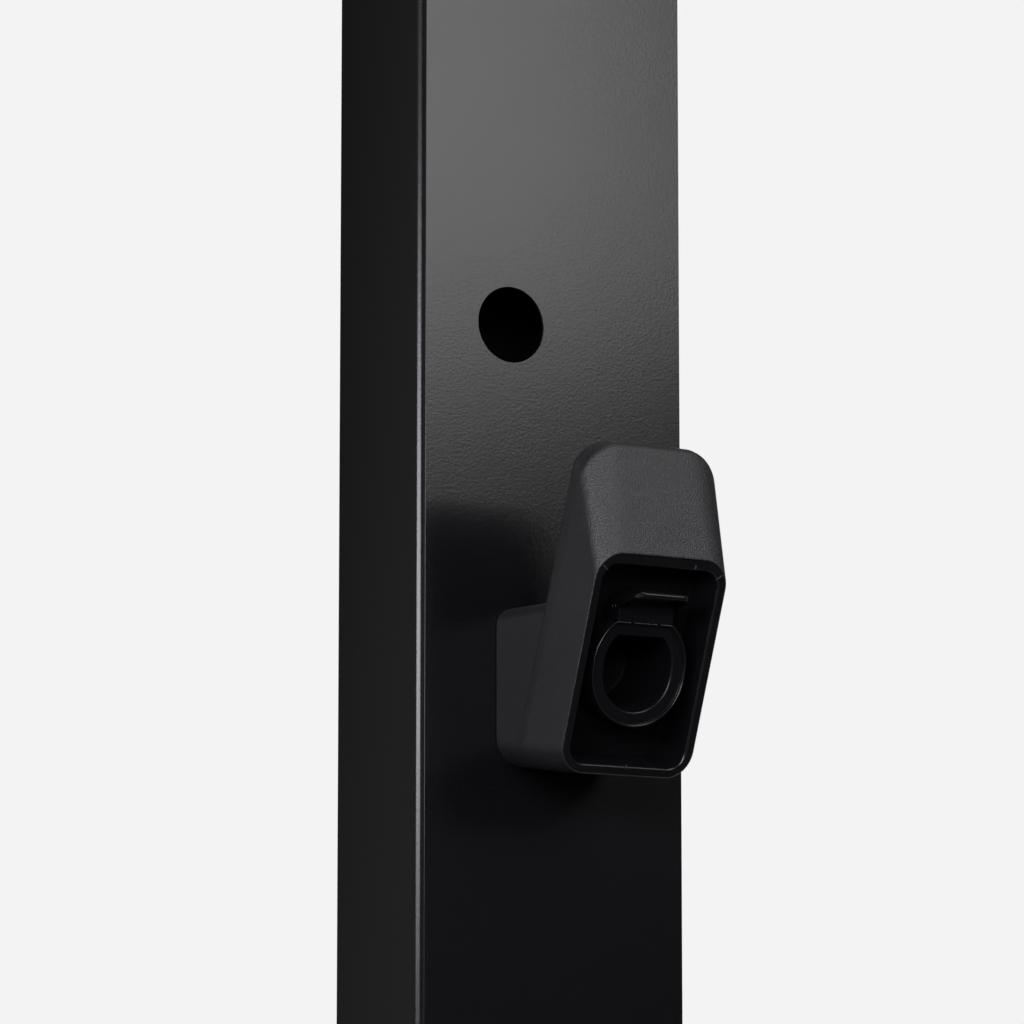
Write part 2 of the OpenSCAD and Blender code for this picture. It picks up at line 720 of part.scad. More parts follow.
// D-shaped sleeve with a closed end, and a collar with a raised edge and two notches in it
module socket_collar() {
    notch_w = 2;
    notch_x = 10.6;
    notch_d = 3;
    sleeve_r = socket_r + sleeve_t;
    sleeve_flat = socket_flat + sleeve_t;
    color("#101011") difference() {
        union() {
            intersection() {
                at_socket() translate([0, 0, -socket_depth]) linear_extrude(socket_depth)
                    dee(collar_r, collar_flat);
                before_back_plate();
            }
            at_socket() translate([0, 0, -socket_depth - sleeve_t])
                linear_extrude(socket_depth + sleeve_t - socket_edge_depth) dee(sleeve_r, sleeve_flat);
        }
        at_socket() {
            translate([0, 0, -socket_depth]) linear_extrude(socket_depth) dee(socket_r, socket_flat);
            translate([0, 0, -socket_edge_depth]) linear_extrude(socket_edge_depth + cut)
                dee(collar_r - collar_edge_t, collar_flat - collar_edge_t);
            for (x = [-notch_x, notch_x])
                translate([x - notch_w / 2, collar_flat - 2 * collar_edge_t, -notch_d])
                    cube([notch_w, 3 * collar_edge_t, notch_d + cut]);
        }
        at_mouth() socket_screw_places() cylinder(d = socket_screw_dia, h = socket_screw_l + cut);
    }
}

module socket_screws() {
    color("#b9b9bc") at_mouth() socket_screw_places() pan_screw(socket_screw_dia, socket_screw_l);
}

// Frame of the cross pin: z along it, from the block's left flank
module at_pin() {
    at_socket() translate([-latch_half_w, collar_flat + pin_h, -latch_face_depth - pin_depth])
        rotate([0, 90, 0]) children();
}

// Outline of the latch block with top corners of radius r
module latch_outline(r) {
    for (x = [-1, 1]) translate([x * (latch_half_w - r), collar_flat + latch_h - r]) circle(r);
    translate([-latch_half_w, collar_flat]) square([2 * latch_half_w, latch_h - r]);
}

// Block above the collar: an arch at the back plate that runs out into a flat visor, with
// a hollow under the visor
module latch_block() {
    skin = 0.1;
    color("#0f0f10") difference() {
        intersection() {
            at_socket() intersection() {
                hull() {
                    translate([0, 0, -tray_depth]) linear_extrude(skin) latch_outline(latch_r);
                    translate([0, 0, visor_reach - skin]) linear_extrude(skin) latch_outline(visor_r);
                }
                translate([-latch_half_w, 0, 0]) rotate([0, 90, 0]) linear_extrude(2 * latch_half_w)
                    latch_side();
                translate([0, collar_flat + latch_h, 0]) rotate([90, 0, 0]) linear_extrude(latch_h)
                    latch_plan();
            }
            before_back_plate();
        }
        at_pin() translate([0, 0, -cut])
            cylinder(r = latch_pin_dia / 2 + thread_play, h = 2 * latch_half_w + 2 * cut);
    }
}

// Side view of the block, as [depth, up]
module latch_side() {
    top = collar_flat + latch_h;
    hollow_up = top - visor_t - visor_hollow_r;
    hollow_out = visor_hollow_r - latch_face_depth;
    difference() {
        union() {
            translate([visor_t / 2 - visor_reach, collar_flat])
                square([visor_reach - visor_t / 2 + 2 * tray_depth, latch_h]);
            translate([visor_t / 2 - visor_reach, top - visor_t / 2]) circle(visor_t / 2);
        }
        translate([-hollow_out, hollow_up]) circle(visor_hollow_r);
        translate([-visor_reach - cut, hollow_up])
            square([visor_reach + cut - hollow_out, visor_hollow_r]);
        translate([-visor_reach - cut, 0]) square([visor_reach + cut + latch_face_depth, hollow_up]);
    }
}

// Plan of the block, as [sideways, depth], with rounded front corners
module latch_plan() {
    r = visor_round_r;
    back = 2 * tray_depth;
    translate([-latch_half_w, -back]) square([2 * latch_half_w, back + visor_reach - r]);
    translate([r - latch_half_w, -back]) square([2 * (latch_half_w - r), back + visor_reach]);
    for (x = [-1, 1]) translate([x * (latch_half_w - r), visor_reach - r]) circle(r);
}

module latch_pin() {
    sink = 1.2;
    color("#8d8d90") at_pin() translate([0, 0, sink])
        cylinder(d = latch_pin_dia, h = 2 * (latch_half_w - sink));
}

module holster_inserts() {
    color("#b08d3f") boss_places() translate([0, 0, gasket_t]) difference() {
        cylinder(r = insert_r, h = insert_l);
        screw_bore(screw_dia);
    }
}

module holster_screws() {
    color("#b9b9bc") boss_places() translate([0, 0, -panel_t - washer_t])
        pan_screw(screw_dia, holster_screw_l);
}

module holster_washers() {
    color("#b9b9bc") boss_places() translate([0, 0, -panel_t - washer_t])
        washer(screw_dia, screw_dia * washer_r_share, washer_t);
}

// Flat seal inside the outline of the neck, with its screw holes
module holster_gasket() {
    inset = 1;
    color("#141414") difference() {
        translate([0, 0, neck_bottom_z + neck_h / 2]) at_face() linear_extrude(gasket_t) intersection() {
            translate([0, -neck_h / 2])
                rounded_rect(2 * (neck_half_w - inset), 2 * (neck_h - inset), neck_top_r - inset);
            translate([0, neck_h / 2])
                rounded_rect(2 * (neck_half_w - inset), 2 * (neck_h - inset), mouth_r - inset);
        }
        boss_places() translate([0, 0, -cut])
            cylinder(r = screw_dia / 2 + hole_play, h = gasket_t + 2 * cut);
    }
}

// Places of the four spacers on the back wall
module rail_places() {
    for (x = [-1, 1], z = [cable_rail_z, din_rail_z])
        translate([x * rail_l * rail_screw_share, body_back_in_y, z]) rotate([90, 0, 0]) children();
}

module rail_standoffs() {
    color("#b9b9bc") rail_places() difference() {
        cylinder(d = 2.2 * screw_dia, h = standoff_l);
        translate([0, 0, standoff_l - rail_screw_l])
            cylinder(r = screw_dia / 2 + thread_play, h = rail_screw_l + cut);
    }
}

rail_front_y = body_back_in_y - standoff_l;

// C-rail: a web on the spacers, two flanges and two inward lips
module cable_rail() {
    w = 30;
    d = 15;
    t = 2;
    gap = 16;
    color("#b9b9bc") difference() {
        translate([-rail_l / 2, rail_front_y, cable_rail_z]) rotate([90, 0, 90]) linear_extrude(rail_l)
            difference() {
                translate([-d, -w / 2]) square([d, w]);
                translate([-d + t, -w / 2 + t]) square([d - 2 * t, w - 2 * t]);
                translate([-d - cut, -gap / 2]) square([t + 2 * cut, gap]);
            }
        rail_places() translate([0, 0, standoff_l - cut])
            cylinder(r = screw_dia / 2 + hole_play, h = t + 2 * cut);
    }
}

// Top-hat rail, 35 mm wide, with its brims forward
module din_rail() {
    w = 35;
    web_w = 27;
    d = 7.5;
    t = 1;
    color("#b9b9bc") difference() {
        translate([-rail_l / 2, rail_front_y, din_rail_z]) rotate([90, 0, 90]) linear_extrude(rail_l)
            polygon([[0, -web_w / 2], [0, web_w / 2], [-d + t, web_w / 2], [-d + t, w / 2], [-d, w / 2],
                     [-d, web_w / 2 - t], [-t, web_w / 2 - t], [-t, t - web_w / 2],
                     [-d, t - web_w / 2], [-d, -w / 2], [-d + t, -w / 2], [-d + t, -web_w / 2]]);
        rail_places() translate([0, 0, standoff_l - cut])
            cylinder(r = screw_dia / 2 + hole_play, h = t + 2 * cut);
    }
}

module rail_screws() {
    rail_web_t = [2, 1];
    rail_zs = [cable_rail_z, din_rail_z];
    color("#b9b9bc") for (x = [-1, 1], i = [0, 1])
        translate([x * rail_l * rail_screw_share, rail_front_y - rail_web_t[i], rail_zs[i]])
            rotate([-90, 0, 0]) pan_screw(screw_dia, rail_screw_l);
}

// Stud on the back wall, then washer, washer and nut towards the front
earth_x = body_w * 0.3;
earth_z = base_t + 110;
earth_l = 25;
module at_earth(out) {
    translate([earth_x, body_back_in_y - out, earth_z]) rotate([90, 0, 0]) children();
}

module earth_stud() {
    color("#b08d3f") at_earth(0) cylinder(d = earth_dia, h = earth_l);
}

module earth_washers() {
    color("#b9b9bc") at_earth(0) {
        washer(earth_dia, earth_dia, flat_washer_t);
        translate([0, 0, flat_washer_t]) washer(earth_dia, earth_dia * 0.85, spring_washer_t);
    }
}

module earth_nut() {
    across_flats = 1.625 * earth_dia;
    color("#b08d3f") at_earth(flat_washer_t + spring_washer_t) difference() {
        cylinder(d = across_flats / cos(30), h = 0.8 * earth_dia, $fn = 6);
        screw_bore(earth_dia);
    }
}

pole_body();
front_panel();
panel_hooks();
panel_lock_screws();
panel_lock_nuts();
base_plate();
base_gussets();
top_cap();
cap_screws();
cap_rivet_nuts();
charger_rivet_nuts();
holster_housing();
holster_liner();
socket_collar();
latch_block();
latch_pin();
socket_screws();
holster_inserts();
holster_screws();
holster_washers();
holster_gasket();
cable_rail();
din_rail();
rail_standoffs();
rail_screws();
earth_stud();
earth_washers();
earth_nut();
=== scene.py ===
"""Dresses a charger pole: finer skins for its moulded holster and folded post, finishes, light and camera."""
import json
import math

import bmesh
import bpy
import numpy as np
from bpy.props import FloatProperty, FloatVectorProperty, IntProperty, PointerProperty
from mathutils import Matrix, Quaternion, Vector


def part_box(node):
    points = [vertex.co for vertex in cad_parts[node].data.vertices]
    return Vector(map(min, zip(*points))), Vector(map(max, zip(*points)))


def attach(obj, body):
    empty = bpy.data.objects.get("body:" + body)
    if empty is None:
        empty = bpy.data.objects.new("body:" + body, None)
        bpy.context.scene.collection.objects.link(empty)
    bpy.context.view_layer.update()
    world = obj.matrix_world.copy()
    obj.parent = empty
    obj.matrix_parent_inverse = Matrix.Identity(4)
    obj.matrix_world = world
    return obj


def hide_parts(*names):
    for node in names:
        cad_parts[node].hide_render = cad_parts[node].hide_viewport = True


bl_info = {
    "name": "Charger Pole",
    "version": (1, 0, 0),
    "blender": (4, 5, 0),
    "location": "View3D > Sidebar > Charger Pole",
    "description": "Builds the visible skins and finishes of a charger mounting pole",
    "category": "Add Mesh",
}

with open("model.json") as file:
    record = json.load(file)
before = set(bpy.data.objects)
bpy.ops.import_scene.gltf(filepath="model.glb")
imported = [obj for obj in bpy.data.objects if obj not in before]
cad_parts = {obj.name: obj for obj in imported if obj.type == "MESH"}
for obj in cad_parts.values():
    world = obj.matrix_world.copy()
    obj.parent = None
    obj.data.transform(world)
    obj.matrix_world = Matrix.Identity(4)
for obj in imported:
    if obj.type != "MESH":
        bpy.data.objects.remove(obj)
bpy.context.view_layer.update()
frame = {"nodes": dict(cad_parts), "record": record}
panel_low, panel_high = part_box("front_panel")
face_y = panel_low.y


def length(name, default, description):
    """A property that holds a length in metres."""
    return FloatProperty(name=name, default=default, description=description, unit="LENGTH", precision=4)


def angle(name, degrees, description):
    """A property that holds an angle."""
    return FloatProperty(name=name, default=math.radians(degrees), description=description, subtype="ANGLE")


def share_of_white(name, default, description):
    """A property that holds a share of white, from none to all."""
    return FloatProperty(name=name, default=default, description=description, subtype="FACTOR",
                         min=0.0, max=1.0)


def colour(name, default, description):
    """A property that holds a colour."""
    return FloatVectorProperty(name=name, default=default, description=description, subtype="COLOR",
                               size=3, min=0.0, max=1.0)


class HolsterShape(bpy.types.PropertyGroup):
    """Sizes of the moulded holster, as its outline is drawn from the side."""

    neck_bottom: length("Neck underside", 0.838, "Height of the neck's underside at the panel")
    neck_height: length("Neck height", 0.110, "Height of the neck at the panel")
    neck_fall: length("Neck fall", 0.003, "Fall of the neck's top towards the hood")
    neck_half_width: length("Neck half width", 0.0483, "Half of the neck's width at the panel")
    neck_corner: length("Neck corner", 0.012, "Corner radius of the neck's top")
    mouth_half_width: length("Mouth half width", 0.0532, "Half of the mouth's width")
    mouth_tilt: angle("Mouth tilt", 20.5, "Tilt of the mouth, outwards at the top")
    mouth_reach: length("Mouth reach", 0.0874, "Reach of the mouth's lower edge from the panel")
    mouth_drop: length("Mouth drop", 0.0119, "How far the mouth's lower edge lies below the neck's underside")
    mouth_length: length("Mouth length", 0.1546, "Length of the mouth, up its plane")
    mouth_corner: length("Mouth corner", 0.020, "Corner radius of the mouth")
    hood_half_width: length("Hood half width", 0.055, "Half of the hood's width at the crease")
    crease_depth: length("Crease depth", 0.046, "Depth of the crease behind the mouth's lower edge")
    brow_depth: length("Brow depth", 0.039, "Depth of the brow behind the mouth")
    brow_height: length("Brow height", 0.222, "Height of the brow above the mouth's lower edge")
    brow_corner: length("Brow corner", 0.028, "Corner radius of the hood at the brow")
    brow_edge: length("Brow edge", 0.005, "Radius of the brow's edge")
    brow_crown: length("Brow crown", 0.0005, "Rise of the brow's middle over its ends")
    hood_depth: length("Hood depth", 0.053, "Depth of the hood's rear face behind the mouth")
    hood_rear_height: length("Hood rear height", 0.2205, "Height of the hood's rear edge")
    hood_rear_corner: length("Hood rear corner", 0.0185, "Corner radius of the hood at its rear edge")
    roof_edge: length("Roof edge", 0.004, "Radius of the rear edge of the roof")
    neck_hollow: length("Neck hollow", 0.013, "Radius of the hollow between hood and neck")
    wall: length("Wall", 0.003, "Wall of the moulding")
    rim: length("Rim", 0.0008, "Rim of the moulding that shows round the land")
    land: length("Land thickness", 0.003, "Thickness of the land")
    seal: length("Seal", 0.001, "Thickness of the seal between neck and panel")
    corner_steps: IntProperty(name="Corner steps", default=14, description="Steps round each corner")


class SocketShape(bpy.types.PropertyGroup):
    """Sizes of the socket, its collar and the latch block above it."""

    height: length("Height", 0.0715, "Height of the socket's centre above the mouth's lower edge")
    depth: length("Depth", 0.0052, "Depth of the collar's edge behind the mouth")
    lean: angle("Lean", 14.5, "Tilt of the socket, outwards at the top")
    rise: length("Rise", 0.0045, "How much taller than a circle the outlines are")
    inner_radius: length("Inner radius", 0.0273, "Inner radius of the socket")
    inner_flat: length("Inner flat", 0.0247, "Height of the socket's flat above its centre")
    inner_corner: length("Inner corner", 0.0035, "Corner radius of the socket's flat")
    outer_radius: length("Outer radius", 0.0376, "Outer radius of the collar")
    outer_flat: length("Outer flat", 0.0343, "Height of the collar's flat above its centre")
    outer_corner: length("Outer corner", 0.005, "Corner radius of the collar's flat")
    edge: length("Raised edge", 0.0014, "Thickness of the collar's raised edge")
    edge_height: length("Edge height", 0.0024, "Depth of the collar's face behind its raised edge")
    bore: length("Bore", 0.060, "Depth of the socket's floor behind the raised edge")
    sleeve: length("Sleeve", 0.002, "Wall of the sleeve behind the tray")
    tray_depth: length("Tray depth", 0.030, "Depth of the tray's back plate behind the mouth")
    notch: length("Notch", 0.0106, "Sideways place of the two notches in the raised edge")
    notch_half: length("Notch half width", 0.001, "Half of a notch's width")
    notch_depth: length("Notch depth", 0.003, "Depth of a notch")
    block_half_width: length("Block half width", 0.0224, "Half of the latch block's width")
    block_height: length("Block height", 0.023, "Height of the latch block above the collar's flat")
    block_corner: length("Block corner", 0.0195, "Radius of the block's top corners at its rear")
    visor_corner: length("Visor corner", 0.006, "Radius of the block's corners at the visor")
    visor: length("Visor", 0.0043, "Thickness of the visor")
    visor_reach: length("Visor reach", 0.0195, "How far the visor stands out of the collar")
    visor_round: length("Visor rounding", 0.008, "Radius of the visor's front corners, seen from above")
    hollow: length("Hollow", 0.0035, "Radius of the hollow under the visor")
    face_depth: length("Face depth", 0.0005, "Depth of the block's face behind the collar's edge")
    pin_height: length("Pin height", 0.0093, "Height of the pin above the collar's flat")
    pin_depth: length("Pin depth", 0.0077, "Depth of the pin behind the collar's edge")
    pin_hole: length("Pin hole", 0.0016, "Radius of the pin's hole")


class TrayShape(bpy.types.PropertyGroup):
    """Sizes of the tray inside the mouth."""

    side: length("Land at the sides", 0.0068, "Width of the land at the sides")
    top: length("Land at the top", 0.0082, "Width of the land at the top")
    bottom: length("Land at the bottom", 0.0071, "Width of the land at the bottom")
    corner: length("Corner", 0.012, "Corner radius inside the land")
    lip: length("Lip", 0.0020, "Radius of the lip between land and walls")
    gap: length("Gap", 0.0001, "Gap between the land and the moulding's rim")
    wall: length("Wall", 0.002, "Wall of the tray")
    plate: length("Back plate", 0.003, "Thickness of the back plate")
    step_height: length("Step height", 0.0255, "Height of the back plate's step above the mouth's lower edge")
    step: length("Step", 0.0016, "Depth of that step")
    opening: length("Opening", 0.033, "Half width of the opening under the collar")


class PoleColours(bpy.types.PropertyGroup):
    """Colours of the pole's finishes."""

    powder: colour("Powder coat", (0.0045, 0.0045, 0.0052), "Black powder coat of the steel")
    moulding: colour("Moulding", (0.014, 0.014, 0.0155), "Grained plastic of the holster")
    gloss: colour("Gloss moulding", (0.0032, 0.0032, 0.0042), "Smooth plastic of the tray and socket")
    zinc: colour("Zinc", (0.52, 0.52, 0.54), "Zinc-plated steel")
    brass: colour("Brass", (0.60, 0.43, 0.19), "Turned brass")
    backdrop: colour("Backdrop", (0.896, 0.896, 0.9), "Backdrop and floor")


def unit(v):
    """The vector divided by its length."""
    v = np.asarray(v, float)
    return v / np.linalg.norm(v)


def cross2(a, b):
    """Signed area that two plane vectors span."""
    return a[0] * b[1] - a[1] * b[0]


def meet(p, u, q, v):
    """The point where the line through p along u meets the line through q along v."""
    return p + u * cross2(q - p, v) / cross2(u, v)


def round_corner(vertex, before, after, radius, steps):
    """Points of the arc that touches both lines at a vertex, from the first line to the second."""
    a, b = unit(before - vertex), unit(after - vertex)
    half = math.acos(float(a @ b)) / 2
    centre = vertex + unit(a + b) * radius / math.sin(half)
    start = vertex + a * radius / math.tan(half) - centre
    end = vertex + b * radius / math.tan(half) - centre
    turn = math.atan2(cross2(start, end), float(start @ end)) * np.linspace(0, 1, steps + 1)
    return centre + np.stack([start[0] * np.cos(turn) - start[1] * np.sin(turn),
                              start[0] * np.sin(turn) + start[1] * np.cos(turn)], 1)


def blend(a, b, share):
    """Straight run from a to b at the given shares."""
    share = np.asarray(share, float)
    return a + (b - a) * (share[:, None] if np.ndim(a) else share)


def placed(x, side):
    """Points of the scene from x and a side view's outward distance and height."""
    return np.stack([x, face_y - side[..., 0], side[..., 1]], -1)


class Holster:
    """The holster's side view, as outward distance from the panel and height, with its rings."""

    def __init__(self, s):
        self.s = s
        tilt = s.mouth_tilt
        self.inwards = np.array([-math.cos(tilt), math.sin(tilt)])
        self.upwards = np.array([math.sin(tilt), math.cos(tilt)])
        self.base = np.array([s.mouth_reach, s.neck_bottom - s.mouth_drop])
        self.wall_low = np.array([0.0, s.neck_bottom])
        self.wall_high = np.array([0.0, s.neck_bottom + s.neck_height])
        self.belly = unit(self.wall_low - self.base)
        self.belly_in = np.array([self.belly[1], -self.belly[0]])

    def at(self, depth, up):
        """Point at a depth behind the mouth's plane and a height up it."""
        return self.base + np.multiply.outer(depth, self.inwards) + np.multiply.outer(up, self.upwards)

    def depth_of(self, point):
        """Depth of a point behind the mouth's plane."""
        return float((point - self.base) @ self.inwards)

    def underside(self, depth, e):
        """Points of the underside at the given depths, moved inwards by e."""
        along = (np.asarray(depth) - e * (self.belly_in @ self.inwards)) / (self.belly @ self.inwards)
        return self.base + e * self.belly_in + np.multiply.outer(along, self.belly)

    def half_width(self, depth):
        """Flares from the mouth to the crease, then tapers to the panel."""
        s = self.s
        wall_depth = self.depth_of(self.wall_low)
        return np.interp(depth, [0, s.crease_depth, wall_depth],
                         [s.mouth_half_width, s.hood_half_width, s.neck_half_width])

    def lines(self, e):
        """Neck, rear, roof and forehead lines of the upper outline, moved inwards by e."""
        s = self.s
        rear = self.at(s.hood_depth, s.hood_rear_height)
        brow = self.at(s.brow_depth, s.brow_height)
        lip = self.at(0.0, s.mouth_length)
        neck_dir = unit([s.mouth_reach, -s.neck_fall])
        found = []
        for point, way in (self.wall_high, neck_dir), (rear, unit(brow - rear)), (brow, unit(lip - brow)):
            found.append((point + e * np.array([way[1], -way[0]]), way))
        neck, roof, forehead = found
        return neck, (self.at(s.hood_depth - e, 0.0), self.upwards), roof, forehead

    def stations(self, e, steps):
        """Rings from the panel to the mouth: depth at the underside, upper point, top corner radius."""
        s = self.s
        neck, rear, roof, forehead = self.lines(e)
        start = meet(neck[0], neck[1], np.array([s.seal, 0.0]), np.array([0.0, 1.0]))
        low = self.underside(0.0, e)
        low_wall = low + self.belly * (low[0] - s.seal) / -self.belly[0]
        lip_depth = s.land * e / s.wall
        lip = self.at(lip_depth, s.mouth_length - e)
        corners = [meet(*neck, *rear), meet(*rear, *roof), meet(*roof, *forehead)]
        hollow = round_corner(corners[0], start, corners[1], s.neck_hollow + e, steps)
        edge = round_corner(corners[1], corners[0], corners[2], s.roof_edge - e, steps)
        brow = round_corner(corners[2], corners[1], lip, s.brow_edge - e, steps)
        d_low, d_neck = self.depth_of(low_wall), self.depth_of(hollow[0])
        # Depths over which the rings fan out round the hollow, and turn at the crease
        fan, bend = 0.005, 0.002
        crease = s.crease_depth
        turn = np.linspace(0, 1, steps + 1)
        runs = [
            (np.array([0, 0.02, 0.25, 0.5, 0.75, 0.97]), d_low, d_neck, start, hollow[0],
             s.neck_corner, s.neck_corner),
            (turn, d_neck, s.hood_depth + fan, hollow, None, s.neck_corner, s.neck_corner),
            (np.linspace(0.04, 0.97, 8), s.hood_depth + fan, s.hood_depth, hollow[-1], edge[0],
             s.neck_corner, s.hood_rear_corner),
            (turn, s.hood_depth, crease + bend, edge, None, s.hood_rear_corner,
             (s.hood_rear_corner + s.brow_corner) / 2),
            (turn, crease + bend / 2, crease - bend, brow, None, s.brow_corner, s.brow_corner),
            (np.array([0.02, 0.15, 0.3, 0.45, 0.6, 0.75, 0.9, 0.98, 1]), crease - bend, lip_depth,
             brow[-1], lip, s.brow_corner, s.mouth_corner),
        ]
        depth = np.concatenate([blend(a, b, f) for f, a, b, p, q, r0, r1 in runs])
        high = np.concatenate([p if q is None else blend(p, q, f) for f, a, b, p, q, r0, r1 in runs])
        radius = np.concatenate([blend(r0, r1, f) for f, a, b, p, q, r0, r1 in runs])
        return depth, high, radius

    def skin(self, e):
        """Rings of the shell moved inwards by e, as an array of rings, points and x, y, z."""
        depth, high, radius = self.stations(e, steps=10)
        width = self.half_width(depth) - e
        return self.rings(self.underside(depth, e), high, width, radius - e, self.s.mouth_corner - e)

    def seat(self, depth, inset):
        """One ring in a plane behind the mouth, inset from the mouth's outline."""
        s = self.s
        place, corner = np.array([depth]), s.mouth_corner - inset
        return self.rings(self.at(place, inset), self.at(place, s.mouth_length - inset),
                          np.array([s.mouth_half_width - inset]), np.array([corner]), corner)

    def rings(self, low, high, width, top_r, low_r):
        """Rounded outlines set up between lower and upper points, their tops raised by the crown."""
        s = self.s
        rise = high - low
        h = np.linalg.norm(rise, axis=1)
        up = rise / h[:, None]
        x, y = rounded_outline(width, h, top_r, np.full(len(h), low_r), s.corner_steps)
        near_top = np.maximum(0, (y - h[:, None] + top_r[:, None]) / top_r[:, None])
        y = y + s.brow_crown * (1 - (x / width[:, None]) ** 2) * near_top
        return placed(x, low[:, None, :] + up[:, None, :] * y[:, :, None])


class Socket:
    """The socket's own frame: x sideways, y up it, z out of the collar's raised edge."""

    def __init__(self, s, holster):
        self.s = s
        self.base = holster.at(s.depth, s.height)
        self.up = np.array([math.sin(s.lean), math.cos(s.lean)])
        self.out = np.array([math.cos(s.lean), -math.sin(s.lean)])
        self.inwards = holster.inwards
        self.top = s.outer_flat + s.block_height

    def world(self, points):
        """Points of the socket's frame in the scene."""
        points = np.asarray(points, float)
        return placed(points[..., 0], self.base + points[..., 1:2] * self.up + points[..., 2:3] * self.out)

    def plate_z(self, y):
        """Place along z of the tray's back plate at a height y."""
        s = self.s
        return (s.tray_depth - s.depth - y * (self.up @ self.inwards)) / (self.out @ self.inwards)

    def outline(self, radius, flat, corner):
        """The D anticlockwise from its flat's right end: flat, corner, arcs about both centres, corner."""
        s = self.s
        reach = math.sqrt((radius - corner) ** 2 - (flat - corner - s.rise) ** 2)
        start = math.atan2(flat - corner - s.rise, reach)
        half, flank, middle = s.notch_half, 0.00005, 0.004
        stops = np.array([s.notch + half + flank, s.notch + half, s.notch - half, s.notch - half - flank,
                          middle])
        ends = (reach + stops[0]) / 2
        xs = np.clip(np.concatenate([[reach, ends], stops, -stops[::-1], [-ends]]), -reach, reach)
        parts = [np.stack([xs, np.full(len(xs), flat)], 1)]
        for cx, cy, r, a, b, steps in (
                (-reach, flat - corner, corner, math.pi / 2, math.pi - start, 8),
                (0, s.rise, radius, math.pi - start, math.pi, 14),
                (0, 0, radius, math.pi, 2 * math.pi, 56),
                (0, s.rise, radius, 0, start, 14),
                (reach, flat - corner, corner, start, math.pi / 2, 8)):
            turn = np.linspace(a, b, steps, endpoint=False)
            parts.append(np.stack([cx + r * np.cos(turn), cy + r * np.sin(turn)], 1))
        return np.concatenate(parts)

    def ring(self, size, inset, z):
        """One ring of the collar: an outline moved inwards, at z, or on the back plate for None."""
        radius, flat, corner = size
        loop = self.outline(radius - inset, flat - inset, max(0.0006, corner - inset))
        return np.column_stack([loop, self.plate_z(loop[:, 1]) if z is None else np.full(len(loop), z)])

    def collar(self):
        """Rings over sleeve, collar, raised edge, face and bore, with two notches in the raised edge."""
        s = self.s
        # Radii of the raised edge, of the bore's lip and of the hollow between edge and face
        soft, lip, hollow = 0.0006, 0.0014, 0.0003
        quarter = np.linspace(0, math.pi / 2, 5)
        face, floor = -s.edge_height, -s.bore
        back = floor - s.sleeve
        outer = (s.outer_radius, s.outer_flat, s.outer_corner)
        inner = (s.inner_radius, s.inner_flat, s.inner_corner)
        tube = tuple(v + s.sleeve for v in inner)
        rows = [(tube, 0.02, back), (tube, 0.001, back), (tube, 0, floor - s.sleeve / 2), (tube, 0, None),
                (outer, 0, None), (outer, 0, -0.012), (outer, 0, -0.006)]
        rows += [(outer, soft * (1 - math.cos(a)), soft * (math.sin(a) - 1)) for a in quarter]
        rows += [(outer, s.edge - soft * (1 - math.sin(a)), soft * (math.cos(a) - 1)) for a in quarter]
        raised = slice(6, len(rows))
        rows += [(outer, s.edge + hollow * (1 - math.cos(a)), face + hollow * (1 - math.sin(a)))
                 for a in quarter]
        rows += [(outer, s.edge + 0.002, face), (inner, -0.003, face)]
        rows += [(inner, lip * (math.sin(a) - 1), face + lip * (math.cos(a) - 1)) for a in quarter]
        rows += [(inner, 0, face - 0.004), (inner, 0, floor / 2), (inner, 0, floor + 0.002),
                 (inner, 0.0006, floor + 0.0006), (inner, 0.002, floor), (inner, 0.018, floor)]
        grid = np.stack([self.ring(*row) for row in rows])
        for row in grid[raised]:
            aside = np.abs(np.abs(row[:, 0]) - s.notch)
            cut = (aside < s.notch_half + 0.00001) & (row[:, 1] > s.outer_flat - 2 * s.edge)
            row[cut, 2] = np.minimum(row[cut, 2], -s.notch_depth)
        return self.world(grid)

    def block_side(self):
        """Side view of the latch block as z and y: hollow, visor's nose, top and back plate."""
        s = self.s
        r, steps = s.visor / 2, 16
        middle = [s.hollow - s.face_depth, self.top - s.visor - s.hollow]
        arc = np.linspace(math.pi, math.pi / 2, steps)
        nose = np.linspace(-math.pi / 2, math.pi / 2, steps)
        zs = np.linspace(s.visor_reach - r, self.plate_z(self.top), 2 * steps)[1:]
        return np.concatenate([
            [[-s.face_depth, s.outer_flat]],
            middle + s.hollow * np.stack([np.cos(arc), np.sin(arc)], 1),
            [s.visor_reach - r, self.top - r] + r * np.stack([np.cos(nose), np.sin(nose)], 1),
            np.stack([zs, np.full(len(zs), self.top)], 1),
            [[self.plate_z(s.outer_flat), s.outer_flat]]])

